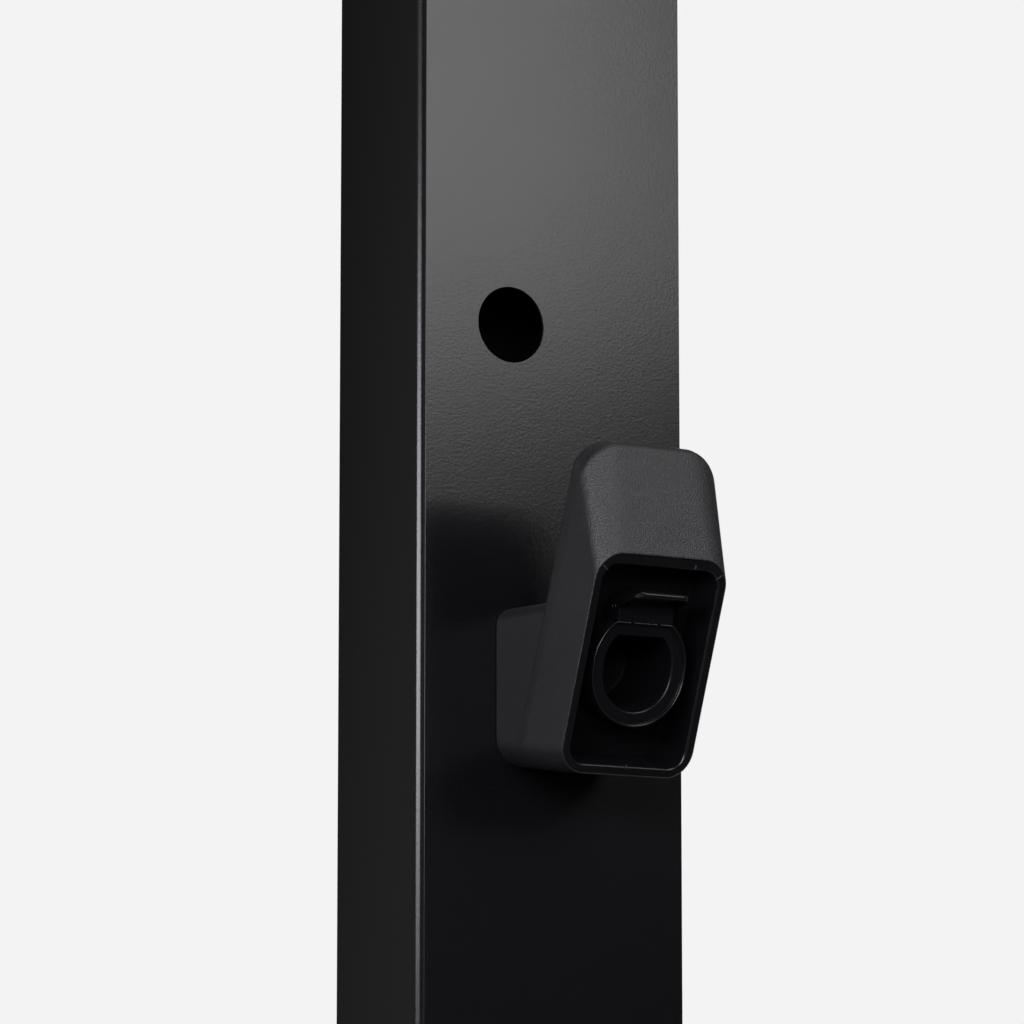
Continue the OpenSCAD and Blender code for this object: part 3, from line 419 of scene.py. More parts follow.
    def block(self):
        """Rings of the latch block between its flanks: its top falls off in arches, wider at the visor."""
        s = self.s
        soft, steps, columns = 0.0008, 5, 40
        side = self.block_side()
        along = np.roll(side, -1, 0) - np.roll(side, 1, 0)
        along /= np.linalg.norm(along, axis=1)[:, None]
        inward = np.stack([-along[:, 1], along[:, 0]], 1)
        w = s.block_half_width
        turn = np.linspace(math.pi / 2, 0, steps + 1)
        runs = [(w - soft + soft * math.sin(a), soft * (1 - math.cos(a))) for a in turn]
        runs += [(w * math.sin(a) - soft * math.sin(a), 0.0)
                 for a in np.linspace(math.pi / 2, 0, columns)[1:]]
        runs += [(-x, e) for x, e in runs[-2::-1]]
        back = self.plate_z(self.top)
        rows = []
        for x, e in runs:
            z, y = (side + inward * e).T
            share = np.clip((z - back) / (s.visor_reach - back), 0, 1)
            radius = s.block_corner + (s.visor_corner - s.block_corner) * share
            over = np.clip(abs(x) - (w - radius), 0, radius)
            y = np.minimum(y, self.top - e - radius + np.sqrt(radius ** 2 - over ** 2))
            past = max(0.0, abs(x) - (w - s.visor_round))
            z = np.minimum(z, s.visor_reach - e - s.visor_round + math.sqrt(s.visor_round ** 2 - past ** 2))
            rows.append(np.stack([np.full(len(z), x), y, z], 1))
        return self.world(np.stack(rows))

    def pin_rim(self):
        """Rings of the small raised rim round the pin's hole in the left flank."""
        s = self.s
        profile = ((1.5, 0.0), (1.45, 0.2), (1.3, 0.35), (1.12, 0.3), (1.0, 0.05),
                   (0.96, -0.35), (0.1, -0.35))
        steps = 24
        turn = np.linspace(0, 2 * math.pi, steps, endpoint=False)
        middle = np.array([s.outer_flat + s.pin_height, -s.pin_depth])
        rows = [np.column_stack([np.full(steps, -s.block_half_width - out * s.pin_hole),
                                 middle[0] + share * s.pin_hole * np.cos(turn),
                                 middle[1] + share * s.pin_hole * np.sin(turn)]) for share, out in profile]
        return self.world(np.stack(rows))


class Tray:
    """The tray in the mouth's frame: x sideways, heights up the mouth, depths behind it."""

    def __init__(self, s, holster, socket):
        self.s = s
        self.holster = holster
        self.socket = socket

    def outline(self, half_width, low, high, top_r, low_r):
        """Rounded outline between two heights, with doubled points where the step meets the side walls."""
        s, mouth = self.s, self.holster.s
        straight = mouth.mouth_length - s.top - s.bottom - 2 * s.corner
        share = (s.step_height - s.bottom - s.corner) / straight
        near = 0.0005
        run = (0.02, share - near, share + near, 0.25, 0.5, 0.75, 1 - share - near, 1 - share + near, 0.98)
        x, y = rounded_outline([half_width], [high - low], [top_r], [low_r], 14, run)
        return np.stack([x[0], y[0] + low], 1)

    def inside(self, out):
        """Outline of the inner walls, moved out of the tray."""
        s, mouth = self.s, self.holster.s
        half_width, corner = mouth.mouth_half_width - s.side + out, s.corner + out
        return self.outline(half_width, s.bottom - out, mouth.mouth_length - s.top + out, corner, corner)

    def rim(self):
        """Outline of the land."""
        mouth = self.holster.s
        inset = mouth.rim + self.s.gap
        corner = mouth.mouth_corner - inset
        return self.outline(mouth.mouth_half_width - inset, inset, mouth.mouth_length - inset, corner, corner)

    def rings(self):
        """Rings from the opening over plate, step, walls, lip and land, and round the back."""
        s, mouth, socket = self.s, self.holster.s, self.socket.s
        depth = socket.tray_depth
        middle = socket.height - (depth - socket.depth) * math.tan(mouth.mouth_tilt - socket.lean)
        half = s.opening
        opening = self.outline(half, middle - half, middle + half * 0.94, half * 0.55, half)
        inner = self.inside(0.0)
        below = inner[:, 1] < s.step_height
        shelf = np.column_stack([inner[:, 0], np.maximum(inner[:, 1], s.step_height)])
        floor = depth + s.step * below
        quarter = np.linspace(math.pi / 2, 0, 9)
        rows = [(opening, depth), (shelf, depth), (shelf, floor), (inner, floor), (inner, depth - 0.001),
                (inner, 0.01)]
        rows += [(self.inside(s.lip * (1 - math.sin(a))), s.lip * (1 - math.cos(a))) for a in quarter]
        rows += [(self.rim(), 0.0), (self.rim(), mouth.land), (self.inside(s.wall), mouth.land),
                 (self.inside(s.wall), depth + s.plate), (opening, depth + s.plate)]
        return np.stack([placed(flat[:, 0], self.holster.at(depths + 0 * flat[:, 1], flat[:, 1]))
                         for flat, depths in rows])


def rounded_outline(half_w, height, top_r, low_r, steps, run=(0.03, 0.2, 0.4, 0.6, 0.8, 0.97)):
    """Outline from its lower right corner anticlockwise: four quarter circles joined by straight runs."""
    turn = np.linspace(0, math.pi / 2, steps + 1)
    w, h, t, b = (np.asarray(v, float)[:, None] for v in (half_w, height, top_r, low_r))
    share = np.array(run)[None, :]
    corners = [(w - b, b, b, -math.pi / 2), (w - t, h - t, t, 0.0),
               (t - w, h - t, t, math.pi / 2), (b - w, b, b, math.pi)]
    xs = [cx + r * np.cos(turn + a) for cx, cy, r, a in corners]
    ys = [cy + r * np.sin(turn + a) for cx, cy, r, a in corners]
    x, y = [], []
    for i in range(4):
        j = (i + 1) % 4
        x += [xs[i], xs[i][:, -1:] + (xs[j][:, :1] - xs[i][:, -1:]) * share]
        y += [ys[i], ys[i][:, -1:] + (ys[j][:, :1] - ys[i][:, -1:]) * share]
    return np.concatenate(x, 1), np.concatenate(y, 1)


def surface(name, points, close_u=False, close_v=True, flip=False, sharp=40, caps=False, weld=False):
    """Mesh of a grid of points: a quad between each four neighbours, wrapped or capped where it is closed."""
    m, n = points.shape[:2]
    i = np.arange(m if close_u else m - 1)[:, None]
    j = np.arange(n if close_v else n - 1)[None, :]
    k, l = (i + 1) % m, (j + 1) % n
    quads = np.stack([i * n + j, i * n + l, k * n + l, k * n + j], -1).reshape(-1, 4)
    if flip:
        quads = quads[:, ::-1]
    faces = quads.tolist()
    if caps:
        faces += [list(range(n)), list(range((m - 1) * n, m * n))]
    mesh = bpy.data.meshes.new(name)
    mesh.from_pydata(points.reshape(-1, 3).tolist(), [], faces)
    if caps or weld:
        work = bmesh.new()
        work.from_mesh(mesh)
        if weld:
            bmesh.ops.remove_doubles(work, verts=work.verts, dist=1e-6)
        bmesh.ops.recalc_face_normals(work, faces=work.faces)
        work.to_mesh(mesh)
        work.free()
    return as_piece(name, mesh, sharp)


def as_piece(name, mesh, sharp):
    """Object of a mesh, shaded smooth apart from edges sharper than an angle in degrees."""
    mesh.polygons.foreach_set("use_smooth", np.ones(len(mesh.polygons), bool))
    mesh.set_sharp_from_angle(angle=math.radians(sharp))
    mesh.update()
    piece = bpy.data.objects.new(name, mesh)
    bpy.context.scene.collection.objects.link(piece)
    return piece


def fit(piece, nodes, slot, look=None):
    """Rides a piece on the pole in place of its nodes, and gives it its slot's finish or another look."""
    piece.data.materials.clear()
    piece.data.materials.append(look or finish(slot))
    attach(piece, "root")
    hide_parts(*nodes)


def merged_copy(node, name, edge, move=None):
    """A copy of a node's mesh with its triangles joined and its sharp edges rounded by a bevel.

    Where a function is given, it moves the points first.
    """
    sharp = 30
    mesh = frame["nodes"][node].data.copy()
    mesh.name = name
    if move:
        points = np.empty(3 * len(mesh.vertices), np.float32)
        mesh.vertices.foreach_get("co", points)
        mesh.vertices.foreach_set("co", move(points.reshape(-1, 3)).ravel())
    work = bmesh.new()
    work.from_mesh(mesh)
    bmesh.ops.remove_doubles(work, verts=work.verts, dist=2e-6)
    bmesh.ops.dissolve_limit(work, angle_limit=math.radians(0.5), verts=work.verts, edges=work.edges)
    least = math.radians(sharp)
    weights = [float(len(e.link_faces) == 2 and e.calc_face_angle(0.0) > least) for e in work.edges]
    work.to_mesh(mesh)
    work.free()
    if "custom_normal" in mesh.attributes:
        mesh.attributes.remove(mesh.attributes["custom_normal"])
    layer = mesh.attributes.new("bevel_weight_edge", "FLOAT", "EDGE")
    layer.data.foreach_set("value", weights)
    piece = as_piece(name, mesh, sharp)
    bevel = piece.modifiers.new("Rounded edges", "BEVEL")
    bevel.width = edge
    bevel.segments = 3
    bevel.limit_method = "WEIGHT"
    bevel.harden_normals = True
    bevel.use_clamp_overlap = True
    return piece


class Wire:
    """An output of a node; arithmetic on it adds Math nodes."""

    def __init__(self, nodes, socket):
        self.nodes = nodes
        self.socket = socket

    def beside(self, output):
        """Another output of the same node."""
        return Wire(self.nodes, self.socket.node.outputs[output])

    def math(self, operation, *others):
        """A Math node on this wire and others."""
        return self.nodes.add("ShaderNodeMath", dict(enumerate((self, *others))), operation=operation)

    def __add__(self, other):
        return self.math("ADD", other)

    def __sub__(self, other):
        return self.math("SUBTRACT", other)

    def __mul__(self, other):
        return self.math("MULTIPLY", other)

    def __rsub__(self, other):
        return self.nodes.add("ShaderNodeMath", {0: other, 1: self}, operation="SUBTRACT")

    __radd__ = __add__
    __rmul__ = __mul__

    def vector_math(self, operation, *others):
        """The number that a Vector Math node makes of this wire and others."""
        return self.nodes.add("ShaderNodeVectorMath", dict(enumerate((self, *others))), "Value",
                              operation=operation)

    def along(self, direction):
        """How far a vector reaches along a fixed direction."""
        return self.vector_math("DOT_PRODUCT", direction)

    def spread(self, low, high):
        """A pattern's middle range stretched between two values."""
        return self.ramp(0.3, 0.7, low, high)

    def ramp(self, low, high, to_low=0.0, to_high=1.0):
        """Straight map from low and high to two other values, kept between them."""
        return self.nodes.add("ShaderNodeMapRange", {0: self, 1: low, 2: high, 3: to_low, 4: to_high})


class Nodes:
    """A node tree of a material or of the world."""

    def __init__(self, tree):
        self.tree = tree

    def add(self, kind, values=None, out=0, **settings):
        """Adds a node, sets its settings, then its sockets to numbers or wires, and gives an output."""
        made = self.tree.nodes.new(kind)
        for key, value in settings.items():
            setattr(made, key, value)
        for key, value in (values or {}).items():
            self.put(made.inputs[key], value)
        return Wire(self, made.outputs[out])

    def put(self, socket, value):
        """Sets a socket to a number or colour, or links a wire to it."""
        if isinstance(value, Wire):
            self.tree.links.new(value.socket, socket)
        elif socket.type == "RGBA" and len(value) == 3:
            socket.default_value = (*value, 1.0)
        else:
            socket.default_value = value

    def rays(self):
        """Camera rays, and rays that a gloss or a clear piece has bent."""
        camera = self.add("ShaderNodeLightPath", out="Is Camera Ray")
        return camera, camera.beside("Is Glossy Ray").math("MAXIMUM", camera.beside("Is Transmission Ray"))


class Finish(Nodes):
    """A material and its node tree."""

    def __init__(self, name):
        self.material = bpy.data.materials.new(name)
        self.material.use_nodes = True
        super().__init__(self.material.node_tree)
        self.shader = self.tree.nodes["Principled BSDF"]
        self.place = self.add("ShaderNodeTexCoord", out="Object")

    def set(self, **values):
        """Sets the shader's sockets; an underscore stands for a space."""
        for key, value in values.items():
            self.put(self.shader.inputs[key.replace("_", " ").title().replace("Ior", "IOR")], value)

    def under(self, factor, **values):
        """Mixes in a second shader by a factor."""
        first = Wire(self, self.shader.outputs[0])
        self.shader = self.tree.nodes.new("ShaderNodeBsdfPrincipled")
        self.set(**values)
        mixed = self.add("ShaderNodeMixShader", {0: factor, 1: first, 2: Wire(self, self.shader.outputs[0])})
        self.put(self.tree.nodes["Material Output"].inputs["Surface"], mixed)

    def scaled(self, x, y, z):
        """Object coordinates stretched along each axis."""
        return self.add("ShaderNodeMapping", {"Vector": self.place, "Scale": (x, y, z)})

    def sideways(self):
        """How far the surface faces left or right."""
        normal = self.add("ShaderNodeNewGeometry", out="Normal")
        return self.add("ShaderNodeSeparateXYZ", {0: normal}, "X").math("ABSOLUTE")

    def noise(self, scale, detail, roughness=0.5, distortion=0.0, place=None):
        """Noise in object coordinates, or in others."""
        values = {"Vector": place or self.place, "Scale": scale, "Detail": detail, "Roughness": roughness}
        return self.add("ShaderNodeTexNoise", {**values, "Distortion": distortion})

    def cells(self, scale, feature="SMOOTH_F1", **values):
        """Distance from the middles of scattered cells."""
        values.update(Vector=self.place, Scale=scale)
        return self.add("ShaderNodeTexVoronoi", values, "Distance", feature=feature)

    def mix(self, factor, a, b):
        """Mixes two colours."""
        return self.add("ShaderNodeMix", {0: factor, 6: a, 7: b}, 2, data_type="RGBA")

    def shades(self, share, base, dark, light, low=0.3, high=0.7):
        """A colour that goes from a darker to a lighter shade as a wire goes from low to high."""
        return self.mix(share.ramp(low, high), tinted(base, dark), tinted(base, light))

    def bump(self, height, distance, strength):
        """Normal of a surface that rises by a height times a distance in metres."""
        values = {"Height": height, "Distance": distance, "Strength": strength}
        return self.add("ShaderNodeBump", values, "Normal")

    def marked(self, marks, base_color, roughness, distance, strength=0.4, metallic=1.0):
        """A metal whose colour, roughness and bump all follow one pattern."""
        self.set(base_color=base_color, metallic=metallic, roughness=marks.spread(*roughness),
                 normal=self.bump(marks, distance, strength))
        return self.material


def tinted(base, factor):
    """A colour made lighter or darker by a factor."""
    return tuple(c * factor for c in base)


def wrinkled_powder(c):
    """Powder coat with a leathery wrinkle: folds of one to two millimetres under a fine orange peel."""
    f = Finish("wrinkled_powder")
    folds = f.noise(540, detail=1, distortion=0.7)
    height = folds + f.cells(520, Smoothness=0.7) * 0.15 + f.noise(1500, detail=1) * 0.05
    patches = f.noise(3.5, detail=3, roughness=0.6)
    f.set(base_color=f.shades(folds, c.powder, 0.85, 1.25, low=0.35),
          roughness=patches.spread(0.20, 0.23) + f.sideways().ramp(0.8, 0.97, 0.0, 0.35),
          normal=f.bump(height, distance=0.00008, strength=0.75), specular_ior_level=0.3)
    return f.material


def smooth_powder(c):
    """Satin powder coat with a faint orange peel."""
    f = Finish("smooth_powder")
    peel = f.noise(420, detail=3, distortion=0.4)
    patches = f.noise(4, detail=3, roughness=0.6)
    f.set(base_color=f.shades(patches, c.powder, 0.95, 1.1), roughness=patches.spread(0.22, 0.25),
          normal=f.bump(peel, distance=0.00012, strength=0.5))
    return f.material


def grained_moulding(c):
    """Plastic with a fine eroded grain, as from a spark-eroded mould."""
    f = Finish("grained_moulding")
    grain = f.noise(900, detail=3, roughness=0.6) * 0.6 + f.cells(1100, Smoothness=0.5) * 0.5
    patches = f.noise(14, detail=3, roughness=0.6)
    f.set(base_color=f.shades(patches, c.moulding, 0.92, 1.1),
          roughness=patches.spread(0.38, 0.42) + f.sideways().ramp(0.9, 0.99, 0.0, 0.2),
          normal=f.bump(grain, distance=0.0006, strength=1.0))
    return f.material


def painted_shade_gloss_moulding(c, least=0.0, deep_painted_shade=0.33):
    """Smooth plastic with faint flow marks, with painted shade behind the collar's edge: a darker, duller
    shader mixed in more and more towards the bore.
    """
    f = Finish("painted_shade_gloss_moulding")
    flow = f.noise(45, detail=2, distortion=0.6)
    scene = bpy.context.scene
    shape = Socket(scene.socket_shape, Holster(scene.holster_shape))
    origin, behind = (Vector(shape.world([0.0, 0.0, z])) for z in (0.0, -1.0))
    inwards = behind - origin
    depth = f.place.along(inwards) - origin.dot(inwards)
    # Painted shade: shares of a darker, rougher shader that grow with depth behind the collar's raised edge,
    # over its face, down the walls and into the bore.
    edge = depth.ramp(0.0012, 0.0022, least, 0.55)
    walls = depth.ramp(0.0036, 0.020, 0.0, deep_painted_shade)
    bore = depth.ramp(0.026, 0.045, 0.0, 0.12)
    f.set(base_color=f.shades(flow, c.gloss, 0.9, 1.1), roughness=flow.spread(0.25, 0.28),
          normal=f.bump(f.noise(900, detail=2), distance=0.00003, strength=0.4))
    # Darker, duller shader that carries the painted shade.
    f.under(edge + walls + bore, base_color=tinted(c.gloss, 0.8), roughness=0.6, specular_ior_level=0.06)
    return f.material


def plated_steel(c):
    """Zinc plating with a blotchy lustre."""
    f = Finish("plated_steel")
    streaks = f.noise(160, detail=3, roughness=0.6, place=f.scaled(1, 1, 8))
    return f.marked(streaks, f.shades(f.cells(120, "F1"), c.zinc, 0.86, 1.0, low=0.1), (0.28, 0.42), 0.00004)


def turned_brass(c):
    """Brass with turning marks round its axis."""
    f = Finish("turned_brass")
    marks = f.noise(350, detail=2, place=f.scaled(1, 12, 1))
    return f.marked(marks, f.shades(marks, c.brass, 0.85, 1.0), (0.25, 0.36), 0.00003, strength=0.5)


def blackened_steel(c):
    """Black oxide on steel."""
    f = Finish("blackened_steel")
    stain = f.noise(300, detail=3, roughness=0.6)
    return f.marked(stain, f.shades(stain, c.powder, 1.4, 2.6), (0.36, 0.5), 0.00003, metallic=0.4)


def ground_pin(c):
    """Ground steel with fine rings."""
    f = Finish("ground_pin")
    rings = f.noise(200, detail=2, place=f.scaled(30, 1, 1))
    return f.marked(rings, f.shades(rings, c.zinc, 0.7, 0.95), (0.2, 0.3), 0.00002)


def closed_foam(c):
    """Closed-cell foam."""
    f = Finish("closed_foam")
    cells = f.cells(1800, "F1")
    f.set(base_color=f.shades(cells, c.powder, 0.6, 1.3, low=0.1, high=0.6), roughness=0.85,
          normal=f.bump(cells, distance=0.0002, strength=0.7))
    return f.material


FINISHES = {
    "powder_smooth": smooth_powder,
    "powder_wrinkle": wrinkled_powder,
    "moulded_matte": grained_moulding,
    "moulded_gloss": painted_shade_gloss_moulding,
    "black_oxide": blackened_steel,
    "zinc_plate": plated_steel,
    "brass": turned_brass,
    "pin_steel": ground_pin,
    "seal_foam": closed_foam,
}
made_finishes = {}


def finish(slot):
    """The material of one of the record's slots, made once."""
    if slot not in made_finishes:
        made_finishes[slot] = FINISHES[slot](bpy.context.scene.pole_colours)
    return made_finishes[slot]


class POLE_OT_finish_nodes(bpy.types.Operator):
    """Gives every solid of the frame the finish of its slot"""

    bl_idname = "pole.finish_nodes"
    bl_label = "Finish the frame"

    def execute(self, context):
        for part in frame["record"]["subparts"]:
            node = frame["nodes"][part["node"]]
            node.data.materials.clear()
            node.data.materials.append(finish(part["material_slot"]))
        return {"FINISHED"}


class POLE_OT_holster(bpy.types.Operator):
    """Builds the holster's outer moulding as one closed skin"""

    bl_idname = "pole.holster"
    bl_label = "Holster moulding"

    def execute(self, context):
        s = context.scene.holster_shape
        shape = Holster(s)
        soft = 0.0005
        outer = shape.skin(0.0)
        inner = shape.skin(s.wall)
        lip = [shape.seat(d, i) for d, i in ((0.0, soft * 0.6), (0.0, s.rim - 0.0001), (0.0001, s.rim),
                                             (s.land - 0.0002, s.rim), (s.land, s.rim))]
        rings = np.concatenate([outer[:-1], edge_ring(outer, soft), *lip, inner[::-1]])
        piece = surface("holster_skin", rings, close_u=True, flip=True, sharp=50)
        fit(piece, ["holster_housing"], "moulded_matte")
        return {"FINISHED"}


def edge_ring(outer, soft):
    """Ring on the outer skin a little behind the mouth, where the rounding of the rim starts."""
    gap = np.linalg.norm(outer[-2] - outer[-1], axis=1)[:, None]
    return (outer[-1] + (outer[-2] - outer[-1]) * soft / gap)[None]


class POLE_OT_socket(bpy.types.Operator):
    """Builds the socket with its collar, and the latch block above it"""

    bl_idname = "pole.socket"
    bl_label = "Socket and latch block"

    def execute(self, context):
        scene = context.scene
        shape = Socket(scene.socket_shape, Holster(scene.holster_shape))
        fit(surface("socket_skin", shape.collar(), sharp=60, caps=True), ["socket_collar"], "moulded_gloss")
        # The latch block's copy keeps painted shade of at least 0.35 over its whole face and adds none down
        # its walls.
        lighter = painted_shade_gloss_moulding(scene.pole_colours, least=0.35, deep_painted_shade=0.0)
        block = surface("latch_skin", shape.block(), sharp=60, caps=True)
        fit(block, ["latch_block"], "moulded_gloss", lighter)
        fit(surface("latch_pin_rim", shape.pin_rim(), sharp=60, caps=True), [], "moulded_gloss", lighter)
        return {"FINISHED"}


def bars(holster, ends, radius):
    """Rings of slim rounded bars that lie across the land, from end to end as x and height up the mouth."""
    made = []
    for (x0, up0), (x1, up1) in ends:
        along = unit([x1 - x0, up1 - up0])
        reach = math.hypot(x1 - x0, up1 - up0) / 2
        turn = np.linspace(0, math.pi, 9)[:, None]
        round_it = np.linspace(0, 2 * math.pi, 12, endpoint=False)[None, :]
        slim = radius * np.sin(turn) ** 0.5
        run = -reach * np.cos(turn) + 0 * round_it
        across = slim * np.cos(round_it)
        x = (x0 + x1) / 2 + run * along[0] - across * along[1]
        up = (up0 + up1) / 2 + run * along[1] + across * along[0]
        depth = -slim * np.sin(round_it) + radius * 0.4
        made.append(placed(x, holster.at(depth, up)))
    return made


class POLE_OT_tray(bpy.types.Operator):
    """Builds the tray in the holster's mouth, with the four short marks on its land"""

    bl_idname = "pole.tray"
    bl_label = "Tray and its marks"

    def execute(self, context):
        scene = context.scene
        holster = Holster(scene.holster_shape)
        tray = Tray(scene.tray_shape, holster, Socket(scene.socket_shape, holster))
        piece = surface("tray_skin", tray.rings(), close_u=True, sharp=35, weld=True)
        fit(piece, ["holster_liner"], "moulded_gloss")
        top = holster.s.mouth_length
        marks = (((-0.0484, top - 0.0096), (-0.0438, top - 0.0132)),
                 ((0.0484, top - 0.0096), (0.0438, top - 0.0132)),
                 ((0.0256, top - 0.0042), (0.0256, top - 0.0076)),
                 ((0.0010, 0.0046), (0.0010, 0.0078)))
        for i, ring in enumerate(bars(holster, marks, radius=0.00065)):
            fit(surface(f"land_mark_{i + 1}", ring, sharp=70), [], "moulded_matte")
        return {"FINISHED"}


def crisp(points, fold=0.0014):
    """Points with the panel's rounded front edges moved out to corners.

    A point on a fold lies on a circle round the fold's centre. Its offset from that centre is
    divided by its larger part, which puts it on the square that stands round the circle.
    """
    across = np.copysign(panel_high.x - fold, points[:, 0], dtype=np.float32)
    centre = np.stack([across, np.full_like(across, face_y + fold)], axis=1)
    offset = points[:, :2] - centre
    folded = (offset[:, 0] * points[:, 0] > 1e-7) & (offset[:, 1] < -1e-6)
    larger = np.abs(offset[folded]).max(axis=1, keepdims=True)
    moved = points.copy()
    moved[folded, :2] = centre[folded] + offset[folded] * fold / larger
    return moved


class POLE_OT_soft_edges(bpy.types.Operator):
    """Copies the folded and flat plates with rounded edges that catch the light"""

    bl_idname = "pole.soft_edges"
    bl_label = "Rounded edges"

    def execute(self, context):
        panel = merged_copy("front_panel", "panel_skin", 0.0001, move=crisp)
        fit(panel, ["front_panel"], "powder_wrinkle")
        for node, name, edge, slot in (
                ("pole_body", "post_skin", 0.0004, "powder_smooth"),
                ("top_cap", "cap_skin", 0.0006, "powder_smooth"),
                ("base_plate", "foot_skin", 0.001, "powder_smooth"),
                ("base_gussets", "gusset_skin", 0.0006, "powder_smooth")):
            fit(merged_copy(node, name, edge), [node], slot)
        return {"FINISHED"}


def softbox(name, place, aim, width, height, radiance, tint=(1, 1, 1), roll=0.0):
    """Area lamp whose power gives it a radiance: power is radiance times area times pi."""
    lamp = bpy.data.lights.new(name, "AREA")
    lamp.shape = "RECTANGLE"
    lamp.size = width
    lamp.size_y = height
    lamp.energy = radiance * width * height * math.pi
    lamp.color = tint
    holder = bpy.data.objects.new(name, lamp)
    holder.location = place
    facing = (Vector(aim) - Vector(place)).to_track_quat("-Z", "Y")
    holder.rotation_euler = (facing @ Quaternion((0, 0, 1), math.radians(roll))).to_euler()
    holder.visible_camera = False
    bpy.context.scene.collection.objects.link(holder)


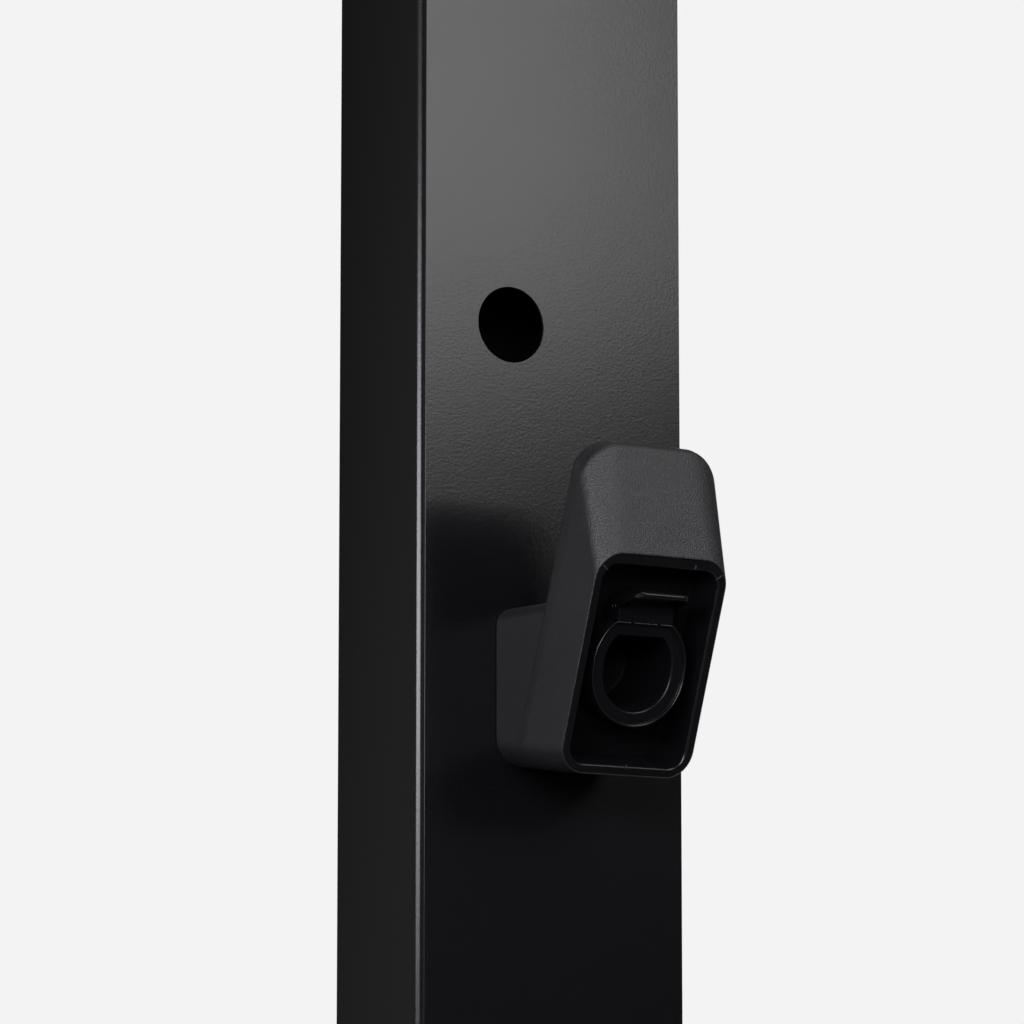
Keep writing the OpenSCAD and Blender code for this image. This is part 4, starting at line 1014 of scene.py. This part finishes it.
class POLE_OT_stage(bpy.types.Operator):
    """Sets the floor, the backdrop, the lamps and the camera"""

    bl_idname = "pole.stage"
    bl_label = "Stage"
    turn: angle("Turn", 31.8, "Heading of the camera, from straight ahead towards the right")
    dim_right: share_of_white("Dim right", 0.02, "Light of the studio from the right")
    dim_left: share_of_white("Dim left", 0.17, "Light of the studio from the left")
    dim_wall: share_of_white("Dim wall", 0.4, "Light of the studio's low wall on the right")
    floor_bounce: share_of_white("Floor bounce", 0.05, "Light that the floor sends back to the pole")
    near_bounce: share_of_white("Near bounce", 0.3, "Light that the floor at the pole's foot sends back")

    def execute(self, context):
        colours = context.scene.pole_colours
        self.ahead = (math.sin(self.turn), math.cos(self.turn), 0.0)
        self.floor(colours.backdrop)
        self.surroundings(colours.backdrop)
        self.lamps()
        self.camera()
        return {"FINISHED"}

    def floor(self, backdrop):
        """A floor that the camera sees as pale as the backdrop, with the pole's shadow on it.

        Glossy and transmission rays see it pale behind the pole only. Other light comes back from it
        as from a dark floor, a little lighter at the pole's foot.
        """
        f = Finish("pale_floor")
        pale = f.mix(f.noise(3, detail=3), tinted(backdrop, 0.86), tinted(backdrop, 0.9))
        seen, bent = f.rays()
        behind = f.place.along(self.ahead).ramp(0.3, 1.0)
        away = f.place.vector_math("LENGTH")
        bounce = f.mix(away.ramp(0.5, 0.9), tinted(backdrop, self.near_bounce),
                       tinted(backdrop, self.floor_bounce))
        mirrored = f.mix(bent * behind, bounce, pale)
        glow = f.mix(seen * away.ramp(2.0, 8.0, 0.62, 0.95), (0.0, 0.0, 0.0), backdrop)
        f.set(base_color=f.mix(seen, mirrored, tinted(backdrop, 0.35)), roughness=0.8,
              emission_color=glow, emission_strength=1.0)
        half = 12.0
        reach = np.linspace(-half, half, 3)
        x, y = np.meshgrid(reach, reach, indexing="ij")
        floor = surface("floor", np.stack([x, y, 0 * x], -1), close_v=False)
        floor.data.materials.append(f.material)

    def surroundings(self, backdrop):
        """A pale backdrop all round for the camera, and a dim studio for the pole.

        Glossy and transmission rays see the backdrop where it stands, behind the pole as the camera
        looks, and the dim studio elsewhere.
        """
        world = bpy.data.worlds.new("surroundings")
        bpy.context.scene.world = world
        world.use_nodes = True
        world.node_tree.nodes.clear()
        w = Nodes(world.node_tree)
        looking = w.add("ShaderNodeTexCoord", out="Generated")
        behind = looking.along(self.ahead).ramp(math.cos(0.48), math.cos(0.33))
        left = looking.along((-1.0, 0.0, -0.6)).ramp(0.28, 0.52, self.dim_right, self.dim_left)
        wall = looking.along((0.94, 0.1, -0.33)).ramp(0.80, 0.95, 0.0, self.dim_wall)
        seen, bent = w.rays()
        dim = w.add("ShaderNodeBackground", {"Color": (1.0, 1.0, 1.0), "Strength": left + wall})
        pale = w.add("ShaderNodeBackground", {"Color": backdrop, "Strength": 1.0})
        mixed = w.add("ShaderNodeMixShader", {0: seen.math("MAXIMUM", bent * behind), 1: dim, 2: pale})
        w.put(w.tree.nodes.new("ShaderNodeOutputWorld").inputs["Surface"], mixed)

    def lamps(self):
        """A softbox to the front right, one to the left and one overhead."""
        softbox("key", (0.86, -2.07, 2.28), (-0.05, -0.06, 1.64), width=0.88, height=1.65, radiance=6.3,
                roll=14)
        softbox("side", (-1.69, -1.58, 1.27), (-0.1, -0.05, 1.0), width=3.4, height=0.52, radiance=13.0,
                tint=(0.94, 0.94, 1.0))
        softbox("top", (0.3, -0.3, 3.2), (0.0, -0.05, 1.0), width=1.6, height=1.6, radiance=1.0)

    def camera(self):
        """Stands left of the pole and low, and looks up at it through a long lens."""
        turn, pitch = self.turn, math.radians(8.6)
        image_px, focal_px, sensor = 1024, 5057, 36.0
        left, back, up = 1.878, 2.972, 0.488
        data = bpy.data.cameras.new("camera")
        data.sensor_width = sensor
        data.lens = focal_px / image_px * sensor
        data.clip_end = 50
        holder = bpy.data.objects.new("camera", data)
        holder.location = (-left, face_y - back, up)
        ahead = Vector((math.sin(turn) * math.cos(pitch), math.cos(turn) * math.cos(pitch), math.sin(pitch)))
        holder.rotation_euler = ahead.to_track_quat("-Z", "Y").to_euler()
        bpy.context.scene.collection.objects.link(holder)
        bpy.context.scene.camera = holder


class POLE_PT_panel(bpy.types.Panel):
    """Lists the pole's steps"""

    bl_label = "Charger Pole"
    bl_idname = "POLE_PT_panel"
    bl_space_type = "VIEW_3D"
    bl_region_type = "UI"
    bl_category = "Charger Pole"

    def draw(self, context):
        for step in STEPS:
            self.layout.operator(step.bl_idname)
        scene = context.scene
        for group in (scene.holster_shape, scene.socket_shape, scene.tray_shape, scene.pole_colours):
            for key in group.bl_rna.properties.keys():
                if key not in ("rna_type", "name"):
                    self.layout.prop(group, key)


STEPS = (POLE_OT_finish_nodes, POLE_OT_holster, POLE_OT_socket, POLE_OT_tray, POLE_OT_soft_edges,
         POLE_OT_stage)
CLASSES = (HolsterShape, SocketShape, TrayShape, PoleColours, *STEPS, POLE_PT_panel)


def register():
    for each in CLASSES:
        bpy.utils.register_class(each)
    bpy.types.Scene.holster_shape = PointerProperty(type=HolsterShape)
    bpy.types.Scene.socket_shape = PointerProperty(type=SocketShape)
    bpy.types.Scene.tray_shape = PointerProperty(type=TrayShape)
    bpy.types.Scene.pole_colours = PointerProperty(type=PoleColours)


def unregister():
    del bpy.types.Scene.holster_shape
    del bpy.types.Scene.socket_shape
    del bpy.types.Scene.tray_shape
    del bpy.types.Scene.pole_colours
    for each in reversed(CLASSES):
        bpy.utils.unregister_class(each)


def main():
    """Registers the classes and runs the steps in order."""
    register()
    bpy.context.scene.view_settings.view_transform = "Standard"
    bpy.ops.pole.finish_nodes()
    bpy.ops.pole.holster()
    bpy.ops.pole.socket()
    bpy.ops.pole.tray()
    bpy.ops.pole.soft_edges()
    bpy.ops.pole.stage()


if __name__ == "__main__":
    main()
